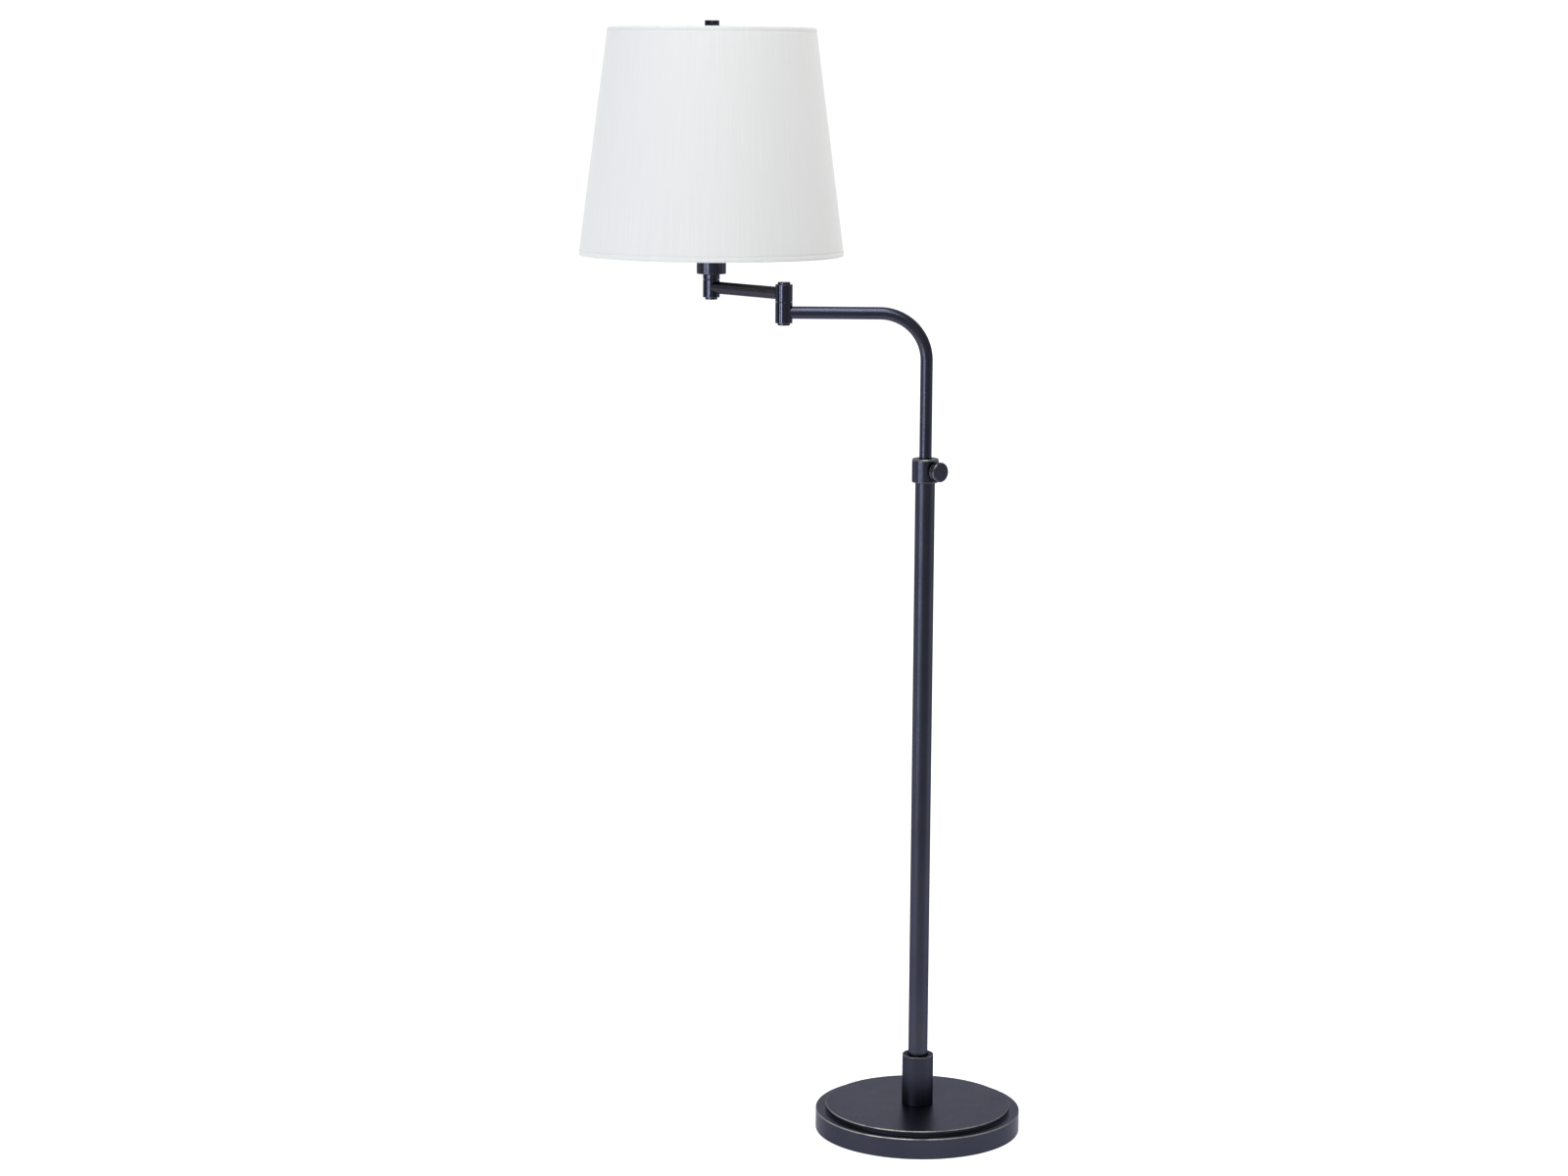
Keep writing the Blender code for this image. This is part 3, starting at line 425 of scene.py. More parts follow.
def linen(name):
    """Off-white linen: a plain weave at thread scale, with slubs along both threads. UVs are metres."""
    s = Shader(name, roughness=0.92, sheen_weight=0.25, sheen_roughness=0.5)
    uv = s.node("ShaderNodeUVMap", uv_map="cloth").outputs["UV"]

    def threads(turn, pitch):
        lie = s.node("ShaderNodeMapping", {"Vector": uv, "Rotation": (0.0, 0.0, turn)}).outputs["Vector"]
        wander = {"Vector": lie, "Scale": 70.0, "Detail": 2.0}
        wobble = s.math("MULTIPLY", s.node("ShaderNodeTexNoise", wander).outputs["Fac"], 5.0)
        across = s.node("ShaderNodeSeparateXYZ", {"Vector": lie}).outputs["X"]
        phase = s.math("ADD", s.math("MULTIPLY", across, 2 * math.pi / pitch), wobble)
        return s.math("ADD", s.math("MULTIPLY", s.math("SINE", phase), 0.5), 0.5)

    def slubs(scale):
        lie = s.node("ShaderNodeMapping", {"Vector": uv, "Scale": scale}).outputs["Vector"]
        streaks = {"Vector": lie, "Scale": 1.0, "Detail": 3.0, "Roughness": 0.6}
        return s.node("ShaderNodeTexNoise", streaks).outputs["Fac"]

    warp = threads(0.0, 0.00058)
    weft = threads(math.pi / 2, 0.00062)
    weave = s.math("MAXIMUM", warp, weft)
    upright = slubs((700.0, 9.0, 1.0))
    level = slubs((16.0, 800.0, 1.0))
    thick = s.math("ADD", s.math("MULTIPLY", upright, 0.85), s.math("MULTIPLY", level, 0.15))
    tone = s.remap(thick, 0.36, 0.64)
    cloth = s.mix(tone, (0.755, 0.758, 0.750), (0.785, 0.788, 0.781))
    # painted shade: the gaps between the threads are darkened
    gap_shade = s.remap(weave, 0.15, 0.75, 0.16, 0.0)
    s.set("Base Color", s.mix(gap_shade, cloth, (0.60, 0.60, 0.58)))
    slub = s.bump(thick, 0.10, 0.0003)
    s.set("Normal", s.bump(weave, 0.20, 0.00012, slub))
    return s.material


def felt(name):
    s = Shader(name, roughness=1.0, sheen_weight=0.6, sheen_roughness=0.6)
    fibres = s.noise(1600.0, 5.0, 0.75, distortion=1.5)
    s.set("Base Color", s.mix(s.remap(fibres, 0.3, 0.7), (0.012, 0.012, 0.013), (0.045, 0.045, 0.047)))
    s.set("Normal", s.bump(fibres, 0.8, 0.0006))
    return s.material


def bulb_glass(name):
    """Soft-white coated glass."""
    s = Shader(name, roughness=0.22, transmission_weight=0.12, coat_weight=0.6, coat_roughness=0.04)
    haze = s.noise(30.0, 3.0)
    s.set("Base Color", s.mix(s.remap(haze, 0.3, 0.7), (0.86, 0.86, 0.84), (0.93, 0.93, 0.92)))
    s.set("Roughness", s.remap(s.noise(200.0, 2.0), 0.3, 0.7, 0.18, 0.28))
    return s.material


SATIN = bronze("bronze_satin", 0.32)
SATIN_TOP = bronze("bronze_satin_level", 0.36, (0.76, 0.76, 0.76), (300.0, 300.0, 40.0), 0.66)
SATIN_FOOT = bronze("bronze_collar", 0.34, (0.74, 0.74, 0.74))
POLISHED = bronze("bronze_turned", 0.16)
ARM_TONE = bronze("bronze_arm", 0.33, tint=(1.15, 1.05, 0.90))
SATIN_KNOB = bronze("bronze_knob", 0.30, brush=(60.0, 60.0, 900.0))
SATIN_MAST = bronze("bronze_mast", 0.27, brush=(700.0, 700.0, 60.0))
SATIN_CUP = bronze("bronze_cup", 0.24)
STEEL = metal("zinc_steel", (0.56, 0.57, 0.59), 0.30)
BRASS = metal("brass", (0.66, 0.50, 0.24), 0.26)
BRASS_WIRE = metal("harp_plating", (0.60, 0.50, 0.33), 0.24)
IRON = moulded("cast_iron", (0.055, 0.055, 0.055), 0.8, 420.0, 0.0008, 1.5)
NYLON = moulded("nylon", (0.022, 0.022, 0.023), 0.45)
PHENOLIC = moulded("phenolic", (0.022, 0.018, 0.016), 0.28, 300.0, 0.00005, 1.6)
CARD = moulded("liner_card", (0.22, 0.17, 0.11), 0.85, 1200.0, 0.0002)
STYRENE = moulded("shade_backing", (0.86, 0.86, 0.84), 0.42, 260.0, 0.00006, 0.97)
LINEN = linen("shade_linen")
FELT = felt("felt")
GLASS = bulb_glass("bulb_glass")

SLOT_FINISH = {"bronze_finish": SATIN, "cast_weight": IRON, "felt": FELT, "zinc_steel": STEEL,
               "brass": BRASS, "nylon": NYLON, "phenolic": PHENOLIC, "liner_card": CARD,
               "bulb_glass": GLASS, "shade_linen": LINEN}


def finish_cad_nodes():
    """Give every CAD node its slot's procedural material; most of the visible ones are replaced below."""
    for part in frame["record"]["subparts"]:
        mesh = frame["nodes"][part["node"]].data
        mesh.materials.clear()
        mesh.materials.append(SLOT_FINISH[part["material_slot"]])


# ---------------------------------------------------------------- base and pole
def bore(target, centre, reach, hole_r):
    """Cut a round hole through a piece, from centre - reach to centre + reach."""
    cut = bpy.data.objects.new("bore", swept_mesh("bore", [centre - reach, centre + reach], hole_r, 32))
    bpy.context.scene.collection.objects.link(cut)
    step = target.modifiers.new("bore", "BOOLEAN")
    step.object = cut
    step.solver = "EXACT"
    bpy.context.view_layer.update()
    graph = bpy.context.evaluated_depsgraph_get()
    mesh = bpy.data.meshes.new_from_object(target.evaluated_get(graph))
    target.modifiers.clear()
    target.data = mesh
    bpy.data.objects.remove(cut)


def build_base():
    foot = low("base_cover").z
    top = high("base_cover").z
    rim = radius("base_cover")
    inner = rim - COVER_T
    step_in = DISC_R - COVER_T
    # wear and painted glint on the cover's rims
    worn_glint = 0.9
    profile = outline([
        (NIPPLE_HOLE, top), (DISC_R, top, 0.0007, worn_glint), (DISC_R, WALL_TOP, 0.0004),
        (rim, WALL_TOP, 0.0008, worn_glint), (rim, foot, 0.0005, 0.15), (inner, foot),
        (inner, WALL_TOP - COVER_T, 0.0004), (step_in, WALL_TOP - COVER_T), (step_in, top - COVER_T),
        (NIPPLE_HOLE, top - COVER_T)])
    cover = turned("base_cover_skin", profile, 192, "base_and_pole", "bronze_finish", SATIN_TOP,
                   ["base_cover"], rubbed=GLINT_BEARING)
    inlet = Vector((0.0, rim, (low("cord_grommet").z + high("cord_grommet").z) / 2))
    bore(cover, inlet, Vector((0.0, 0.01, 0.0)), INLET_R)

    neck, flange, mouth = 0.0042, 0.0055, 0.0032
    proud = 0.0022
    inside = -COVER_T - 0.0005
    back = inside - 0.0012
    grommet = outline([
        (neck, inside), (flange, inside), (flange, back, 0.0004), (mouth, back, 0.0005),
        (mouth, proud, 0.0006), (flange, proud, 0.0008), (flange, GAP), (neck, GAP)])
    turned("cord_grommet_skin", grommet, 48, "base_and_pole", "nylon", NYLON, ["cord_grommet"],
           facing(Vector((0, 1, 0)), inlet))

    pad = radius("base_felt")
    felt_top = high("base_felt").z
    profile = outline([(0.0, felt_top), (pad, felt_top, 0.0003), (pad, 0.0, 0.0005), (0.0, 0.0)])
    felt_pad = turned("felt_pad", rings_added(profile, 0.004), 144, "base_and_pole", "felt", FELT,
                      ["base_felt"])

    collar_r = radius("base_collar")
    foot, top = low("base_collar").z, high("base_collar").z
    pole = radius("lower_pole")
    mouth = pole + GAP
    floor = foot + 0.010
    profile = outline([
        (collar_r, foot, 0.0003), (collar_r, top, 0.0009, 0.25), (mouth + 0.0013, top, 0.0003, 0.1),
        (mouth, top - 0.0016), (mouth, floor), (NIPPLE_HOLE, floor), (NIPPLE_HOLE, foot)])
    turned("base_collar_skin", profile, 96, "base_and_pole", "bronze_finish", SATIN_FOOT, ["base_collar"])

    foot, top = low("lower_pole").z, high("lower_pole").z
    inner = pole - POLE_WALL
    profile = outline([(pole, foot), (pole, top, 0.0002), (inner, top), (inner, foot)])
    turned("lower_pole_skin", rings_added(profile, 0.02), 96, "base_and_pole", "bronze_finish", SATIN,
           ["lower_pole"])


def rings_added(profile, spacing):
    """The same outline with extra points on its long stretches."""
    made = []
    for (r, z, wear_and_glint), (r2, z2, next_wear_and_glint) in zip(profile, profile[1:] + profile[:1]):
        made.append((r, z, wear_and_glint))
        if (r, z) == profile[-1][:2] and (r < 1e-7 or r2 < 1e-7):
            continue
        parts = max(1, int(math.hypot(r2 - r, z2 - z) / spacing))
        for k in range(1, parts):
            t = k / parts
            made.append((r + (r2 - r) * t, z + (z2 - z) * t, wear_and_glint + (next_wear_and_glint - wear_and_glint) * t))
    return made


# ---------------------------------------------------------------- clamp collar and thumb screw
def build_clamp():
    clamp = radius("clamp_collar")
    foot, top = low("clamp_collar").z, high("clamp_collar").z
    mouth = TUBE_R + 2 * GAP
    pole = radius("lower_pole") + GAP
    seat = high("pole_guide_bush").z + GAP
    profile = outline([
        (clamp, foot, 0.0016, 0.12), (clamp, top, 0.0024, 0.30), (mouth + 0.0010, top, 0.0002),
        (mouth, top - 0.0010), (mouth, seat), (pole, seat), (pole, foot, 0.0002)], steps=7)
    turned("clamp_collar_skin", profile, 96, "base_and_pole", "bronze_finish", SATIN, ["clamp_collar"])

    back = KNOB_FACE - KNOB_T
    neck = clamp + 0.0006
    bore_end = back + KNOB_BORE_DEPTH
    profile = outline([
        (0.0, KNOB_FACE), (KNOB_R - 0.0016, KNOB_FACE - 0.0003, 0.0006, 0.1),
        (KNOB_R, KNOB_FACE - 0.0019, 0.0007, 0.40), (KNOB_R, back, 0.0009, 0.35),
        (KNOB_NECK_R, back, 0.0006), (KNOB_NECK_R, neck, 0.0003), (KNOB_BORE_R, neck),
        (KNOB_BORE_R, bore_end), (0.0, bore_end)])
    turned("thumb_knob", profile, 96, "thumb_screw", "bronze_finish", SATIN_KNOB, ["thumb_screw_knob"],
           facing(SCREW, Vector((0.0, 0.0, SCREW_Z))))


# ---------------------------------------------------------------- mast and arm
def coped(axis, reach):
    """A trim that moves a tube's end points along the tube on to a knuckle barrel's surface."""
    def trim(spot, along):
        flat = spot.xy - axis.xy
        run = along.xy.normalized()
        side = Vector((-run.y, run.x))
        off = flat.dot(side)
        depth = math.sqrt(max(reach * reach - off * off, 0.0))
        return axis.xy + run * depth + side * off
    return trim


def build_mast():
    mast_z = high("mast_tube").z - TUBE_R
    foot = low("mast_tube").z
    start = mast_z - MAST_BEND
    reach = -ELBOW.x
    path = [Vector((0.0, 0.0, foot + (start - foot) * k / 24)) for k in range(25)]
    turns = 40
    for k in range(1, turns + 1):
        angle = math.pi / 2 * k / turns
        path.append(Vector((MAST_BEND * (math.cos(angle) - 1), 0.0, start + MAST_BEND * math.sin(angle))))
    level = reach - MAST_BEND - BARREL_R
    path += [Vector((-MAST_BEND - level * k / 8, 0.0, mast_z)) for k in range(1, 9)]
    meet = coped(ELBOW, BARREL_R + 0.0001)

    def trim(spot, i):
        if i == 0:
            return spot
        place = meet(spot, Vector((1.0, 0.0, 0.0)))
        return Vector((place.x, place.y, spot.z))

    mesh = swept_mesh("mast_skin", path, TUBE_R, 72, inner=TUBE_R - TUBE_WALL, trim=trim)
    piece("mast_skin", mesh, "mast", SATIN_MAST, ["mast_tube"])

    arm_z = (low("swing_arm_tube").z + high("swing_arm_tube").z) / 2
    start, end = ELBOW.copy(), HEAD.copy()
    start.z = end.z = arm_z
    run = (end - start).length - 2 * BARREL_R
    path = [start + ARM_DIR * (BARREL_R + run * k / 10) for k in range(11)]
    first, last = coped(ELBOW, BARREL_R + 0.0001), coped(HEAD, BARREL_R + 0.0001)

    def trim_arm(spot, i):
        place = first(spot, ARM_DIR) if i == 0 else last(spot, -ARM_DIR)
        return Vector((place.x, place.y, spot.z))

    mesh = swept_mesh("swing_arm_skin", path, TUBE_R, 72, inner=TUBE_R - TUBE_WALL, trim=trim_arm)
    piece("swing_arm_skin", mesh, "swing_arm", ARM_TONE, ["swing_arm_tube"])


# ---------------------------------------------------------------- knuckles
def barrel(node, body, axis, cap_low):
    """A knuckle barrel with a sunk seat for its cap nut, and one for the washer if the cap is below."""
    foot, top = low(node).z, high(node).z
    seat = CAP_R + 0.0004
    washer_floor = top - 0.0007
    edge = (0.0006, 0.12)
    line = (0.00025, 0.03)
    if cap_low:
        floor = foot + CAP_SINK
        corners = [(BARREL_R, top, *line), (BARREL_R, foot, *edge), (seat, foot, 0.0002), (seat, floor),
                   (NIPPLE_HOLE, floor), (NIPPLE_HOLE, washer_floor), (WASHER_R, washer_floor),
                   (WASHER_R, top)]
    else:
        floor = top - CAP_SINK
        corners = [(BARREL_R, top, *edge), (BARREL_R, foot, *line), (NIPPLE_HOLE, foot),
                   (NIPPLE_HOLE, floor), (seat, floor), (seat, top, 0.0002)]
    turned(node + "_skin", outline(corners), 96, body, "bronze_finish", POLISHED, [node], at(axis))


def cap(node, body, axis, outward):
    """A round cap nut. outward is 1 where its closed face is on top and -1 where it is below."""
    foot, top = low(node).z, high(node).z
    face, inner = (top, foot) if outward > 0 else (foot, top)
    thread_r = 0.0051
    floor = face - outward * 0.0013
    profile = outline([
        (0.0, face), (CAP_R, face, 0.0006, 0.12), (CAP_R, inner), (thread_r, inner), (thread_r, floor),
        (0.0, floor)])
    turned(node + "_skin", profile, 72, body, "bronze_finish", POLISHED, [node], at(axis))


def build_knuckles():
    barrel("elbow_lower_barrel", "mast", ELBOW, True)
    barrel("elbow_upper_barrel", "swing_arm", ELBOW, False)
    barrel("head_barrel", "swing_arm", HEAD, True)
    cap("elbow_bottom_cap", "mast", ELBOW, -1)
    cap("elbow_top_cap", "mast", ELBOW, 1)
    cap("head_bottom_cap", "head", HEAD, -1)
    foot, top = low("head_neck").z, high("head_neck").z
    profile = outline([
        (BARREL_R, foot, 0.00025, 0.03), (BARREL_R, top, 0.0003), (NIPPLE_HOLE, top), (NIPPLE_HOLE, foot)])
    turned("head_neck_skin", profile, 96, "head", "bronze_finish", POLISHED, ["head_neck"], at(HEAD))


# ---------------------------------------------------------------- socket, bulb, harp
def build_socket():
    cup = radius("socket_cup")
    foot, top = low("socket_cup").z, high("socket_cup").z
    inner = cup - CUP_WALL
    floor = foot + 0.0015
    profile = outline([
        (cup, foot, 0.0009, 0.1), (cup, top, 0.0004, 0.15), (inner, top, 0.0003), (inner, floor, 0.0005),
        (NIPPLE_HOLE, floor), (NIPPLE_HOLE, foot)])
    turned("socket_cup_skin", profile, 96, "head", "bronze_finish", SATIN_CUP, ["socket_cup"], at(HEAD))

    foot, top = low("socket_shell").z, high("socket_shell").z
    groove = SHELL_R - SHELL_BEAD
    profile = outline([
        (SHELL_R, foot), (SHELL_R, top - 0.0100), (groove, top - 0.0095, 0.0003),
        (groove, top - 0.0080, 0.0003), (SHELL_R, top - 0.0075), (SHELL_R, top - 0.0010),
        (SHELL_R + 0.0004, top, 0.0003), (SHELL_BORE, top, 0.0002), (SHELL_BORE, foot)])
    turned("socket_shell_skin", profile, 72, "head", "brass", BRASS, ["socket_shell"], at(HEAD))

    turn = JOINTS["switch_turn"]
    lie = facing(Vector(turn["axis"]), Vector(turn["pos_m"]))
    start, end = 0.0250, 0.0400
    shaft_r, shaft_end = 0.0023, 0.0303
    profile = outline([
        (0.0, end), (0.0043, end, 0.0012), (0.0060, start, 0.0008), (shaft_r, start), (shaft_r, shaft_end),
        (0.0, shaft_end)])

    def ribs(angle, z):
        return 1.0 + (0.055 * math.cos(10 * angle) if z > start + 0.0005 else 0.0)

    turned("switch_knob_skin", rings_added(profile, 0.0012), 120, "switch", "phenolic", PHENOLIC,
           ["switch_knob"], lie, flute=ribs)


def build_bulb():
    foot = low("bulb_base").z
    top = high("bulb_glass").z
    middle = top - BULB_R
    curve = []
    for k in range(29):
        angle = math.radians(90 - 4.5 * k)
        curve.append((BULB_R * math.cos(angle), middle + BULB_R * math.sin(angle)))
    waist = Vector(curve[-1])
    root = Vector((BULB_NECK, foot + 0.0290))
    for k in range(1, 15):
        t = k / 14
        ease = t * t * (3 - 2 * t) * 0.35 + (1 - (1 - t) ** 2) * 0.65
        curve.append((waist.x + (root.x - waist.x) * ease, waist.y + (root.y - waist.y) * t))
    curve.append((BULB_NECK, foot + 0.0080))
    dome = 12
    inner = [(max(r - BULB_WALL, 0.0), z - (BULB_WALL if k < dome else 0.0))
             for k, (r, z) in enumerate(curve)]
    profile = [(r, z, 0.0) for r, z in curve] + [(r, z, 0.0) for r, z in reversed(inner)]
    profile[0] = (0.0, profile[0][1], 0.0)
    profile[-1] = (0.0, profile[-1][1], 0.0)
    turned("bulb_envelope", profile, 96, "head", "bulb_glass", GLASS, ["bulb_glass"], at(HEAD))


def harp_half_width(t, foot, widest):
    """Half the harp's width from its foot, t = 0, to its crown, t = 1."""
    if t < 0.5:
        return foot + (widest - foot) * (0.5 - 0.5 * math.cos(math.pi * t / 0.5))
    return widest * math.cos(math.pi / 2 * (t - 0.5) / 0.5)


def harp_rise(t):
    """Height along the harp as a share of its whole height."""
    belly = 0.62
    if t < 0.5:
        return belly * t / 0.5
    return belly + (1 - belly) * math.sin(math.pi / 2 * (t - 0.5) / 0.5)


def build_harp():
    foot_z = low("harp").z
    crown = high("harp").z - HARP_WIRE
    foot = (high("harp_ferrule_right").x + low("harp_ferrule_right").x) / 2 - HEAD.x
    leg = []
    steps = 48
    for k in range(steps + 1):
        t = k / steps
        leg.append(Vector((HEAD.x + harp_half_width(t, foot, HARP_REACH), HEAD.y,
                           foot_z + (crown - foot_z) * harp_rise(t))))
    other = [Vector((2 * HEAD.x - p.x, p.y, p.z)) for p in reversed(leg[:-1])]
    mesh = swept_mesh("harp_wire", leg + other, HARP_WIRE, 20)
    piece("harp_wire", mesh, "head", BRASS_WIRE, ["harp"])

    for node in ("harp_ferrule_left", "harp_ferrule_right"):
        lo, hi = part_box(node)
        centre = (lo + hi) / 2
        reach = (hi.x - lo.x) / 2
        inner = reach - 0.0008
        profile = outline([
            (reach, lo.z, 0.0003), (reach, hi.z, 0.0005), (inner, hi.z, 0.0002), (inner, lo.z)])
        turned(node + "_skin", profile, 48, "head", "brass", BRASS, [node], at(centre))

    lo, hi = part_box("harp_top_stud")
    seat = hi.z - 0.0132
    bevel = 0.0004
    thread_length = 0.0120
    thread_depth = 0.0002
    rows = 60
    profile = [(0.0, hi.z, 0.0)]
    for k in range(rows + 1):
        z = hi.z - bevel - thread_length * k / rows
        turn = 2 * math.pi * z / STUD_PITCH
        profile.append((STUD_R - thread_depth * (1 - math.cos(turn)) / 2, z, 0.0))
    collar = 0.0060
    profile += [(STUD_R, seat, 0.0), (collar - bevel, seat, 0.0), (collar, seat - bevel, 0.0),
                (collar, lo.z + bevel, 0.0), (collar - bevel, lo.z, 0.0), (0.0, lo.z, 0.0)]
    turned("harp_stud_skin", profile, 48, "head", "brass", BRASS, ["harp_top_stud"], at(HEAD))


# ---------------------------------------------------------------- shade
def shade_sizes():
    lo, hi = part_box("shade_shell")
    return lo.z, hi.z, (hi.x - lo.x) / 2, SHADE_R_TOP


def build_shade():
    """The cloth with its rolled edges, backing, seam and rings. Returns the top ring's centre."""
    foot, top, wide, narrow = shade_sizes()
    slope = (wide - narrow) / (top - foot)
    lean = math.atan(slope)
    out = Vector((math.cos(lean), math.sin(lean)))
    rise = Vector((-math.sin(lean), math.cos(lean)))

    def on_side(z):
        return Vector((wide - (z - foot) * slope, z))

    def rolled(centre, start):
        turns = [start + math.pi * k / 10 for k in range(11)]
        return [centre + Vector((math.cos(angle), math.sin(angle))) * RING_BEAD for angle in turns]

    low_centre = on_side(foot + RING_BEAD) - out * RING_BEAD
    high_centre = on_side(top - RING_BEAD) - out * RING_BEAD
    length = (high_centre - low_centre).length
    inside = -out * (RING_BEAD - CLOTH_GAP)
    line = [low_centre + inside + rise * HEM] + rolled(low_centre, math.pi + lean)
    spots = [length * k / PANELS for k in range(1, PANELS)]
    crease = [CREASE - CREASE_HALF, CREASE, CREASE + CREASE_HALF]
    for spot in sorted(crease + spots + [length - c for c in crease]):
        dip = CREASE_DEPTH if min(abs(spot - CREASE), abs(length - spot - CREASE)) < 1e-6 else 0.0
        line.append(low_centre + out * (RING_BEAD - dip) + rise * spot)
    line += rolled(high_centre, lean) + [high_centre + inside - rise * HEM]
    cloth = cloth_skin("shade_cloth", line, CLOTH_T, 256)
    fabric = piece("shade_cloth", cloth, "head", LINEN, ["shade_shell"], at(HEAD),
                   sharp=60.0)

    build_backing(low_centre, high_centre, out, rise)
    seam_strip(low_centre, high_centre, out)

    wire = RING_BEAD - CLOTH_T - CLOTH_GAP
    sides = 14
    for node, centre in (("shade_bottom_ring", low_centre), ("shade_top_ring", high_centre)):
        turns = [2 * math.pi * k / sides for k in range(sides)]
        ring = [(centre.x + wire * math.cos(turn), centre.y + wire * math.sin(turn), 0.0) for turn in turns]
        turned(node + "_skin", ring, 160, "head", "zinc_steel", STEEL, [node], at(HEAD))
    return high_centre


def build_backing(low_centre, high_centre, out, rise):
    """The stiff styrene liner between the two rings, just inside the cloth."""
    behind = out * (RING_BEAD - CLOTH_T - CLOTH_GAP)
    end = rise * (RING_BEAD + 0.0010)
    foot = low_centre + behind + end
    top = high_centre + behind - end
    profile = [(foot.x, foot.y, 0.0), (top.x, top.y, 0.0), (top.x - BACKING_T, top.y, 0.0),
               (foot.x - BACKING_T, foot.y, 0.0)]
    backing = turned("shade_backing", rings_added(profile, 0.01), 192, "head", "shade_linen", STYRENE, [],
                     at(HEAD))


def cloth_skin(name, line, thickness, segments):
    """A cloth of even thickness spun from an open line. Its UVs are metres along the girth and the line."""
    normals = []
    for i in range(len(line)):
        step = (line[min(i + 1, len(line) - 1)] - line[max(i - 1, 0)]).normalized()
        normals.append(Vector((step.y, -step.x)))
    inner = [p - n * thickness for p, n in zip(line, normals)]
    loop = line + inner[::-1]
    run = [0.0]
    for a, b in zip(line, line[1:]):
        run.append(run[-1] + (b - a).length)
    along = run + run[::-1]
    mesh = lathe_mesh(name, [(p.x, p.y, 0.0) for p in loop], segments)
    layer = mesh.uv_layers.new(name="cloth")
    girth = 2 * math.pi * line[len(line) // 2].x
    rows = len(loop)
    for poly in mesh.polygons:
        cols = [v % segments for v in poly.vertices]
        wraps = max(cols) - min(cols) > segments // 2
        for corner in poly.loop_indices:
            vertex = mesh.loops[corner].vertex_index
            row, col = divmod(vertex, segments)
            u = col + (segments if wraps and col < segments // 2 else 0)
            layer.data[corner].uv = (u / segments * girth, along[row % rows])
    return mesh


def seam_strip(low_centre, high_centre, out):
    """The lap where the cloth's two ends meet at the back: a thin strip on the outside."""
    half = LAP / 2
    proud = 0.0004
    under = 0.00005
    rows, columns = 60, 8
    side = high_centre - low_centre
    verts, faces, uvs = [], [], []
    for layer in (0, 1):
        for i in range(rows + 1):
            spot = low_centre + side * (i / rows)
            for k in range(columns + 1):
                share = -1 + 2 * k / columns
                swell = proud * (1 - share ** 6) if layer else under
                reach = spot + out * (RING_BEAD + swell)
                angle = SEAM_BEARING + share * half / reach.x
                verts.append(Vector((reach.x * math.cos(angle), reach.x * math.sin(angle), reach.y)))
                uvs.append((share * half, side.length * i / rows))

    def index(layer, i, k):
        return layer * (rows + 1) * (columns + 1) + i * (columns + 1) + k

    for i in range(rows):
        for k in range(columns):
            for layer in (0, 1):
                faces.append([index(layer, i, k), index(layer, i, k + 1), index(layer, i + 1, k + 1),
                              index(layer, i + 1, k)])
    for i in range(rows):
        for k in (0, columns):
            faces.append([index(0, i, k), index(0, i + 1, k), index(1, i + 1, k), index(1, i, k)])
    for k in range(columns):
        for i in (0, rows):
            faces.append([index(0, i, k), index(0, i, k + 1), index(1, i, k + 1), index(1, i, k)])
    mesh = mesh_from("shade_seam", verts, faces)
    layer = mesh.uv_layers.new(name="cloth")
    for loop, data in zip(mesh.loops, layer.data):
        data.uv = uvs[loop.vertex_index]
    lap = piece("shade_seam", mesh, "head", LINEN, [], at(HEAD), sharp=60.0)


def build_spider(ring_centre):
    """The hub under the finial and three spokes that rise from it to the top ring."""
    hub_low = low("shade_spider").z
    hub_top = hub_low + 0.0016
    hub_r, hole = 0.0110, 0.0034
    profile = outline([
        (hub_r, hub_low, 0.0004), (hub_r, hub_top, 0.0006), (hole, hub_top, 0.0003), (hole, hub_low)])
    turned("spider_hub", profile, 72, "head", "zinc_steel", STEEL, ["shade_spider"], at(HEAD))
    level = (hub_low + hub_top) / 2
    run = ring_centre.x - RING_WIRE - SPOKE_WIRE - SPOKE_START
    steps = 40
    for i, bearing in enumerate(SPOKE_BEARINGS):
        out = Vector((math.cos(math.radians(bearing)), math.sin(math.radians(bearing)), 0.0))
        points = []
        for k in range(steps + 1):
            t = k / steps
            lift = min(max((t - 0.10) / 0.80, 0.0), 1.0)
            height = level + (ring_centre.y - level) * lift
            points.append(out * (SPOKE_START + run * t) + UP * height)
        name = f"spider_spoke_{i + 1}"
        spoke = swept_mesh(name, smoothed(points, 6), SPOKE_WIRE, 16)
        piece(name, spoke, "head", STEEL, [], at(HEAD))


def smoothed(points, rounds):
    for _ in range(rounds):
        between = [(a + b * 2 + c) / 4 for a, b, c in zip(points, points[1:], points[2:])]
        points = [points[0]] + between + [points[-1]]
    return points


def build_finial():
    foot, top = low("finial").z, high("finial").z
    wide = radius("finial")
    neck, hole = 0.0065, 0.0034
    bore_end = top - 0.0115
    profile = outline([
        (0.0, top), (wide, top, 0.0007, 0.2), (wide, foot + 0.0050, 0.0005, 0.1),
        (neck, foot + 0.0030, 0.0008), (neck, foot, 0.0003), (hole, foot), (hole, bore_end),
        (0.0, bore_end)])
    turned("finial_skin", profile, 96, "finial_nut", "bronze_finish", POLISHED, ["finial"], at(HEAD))


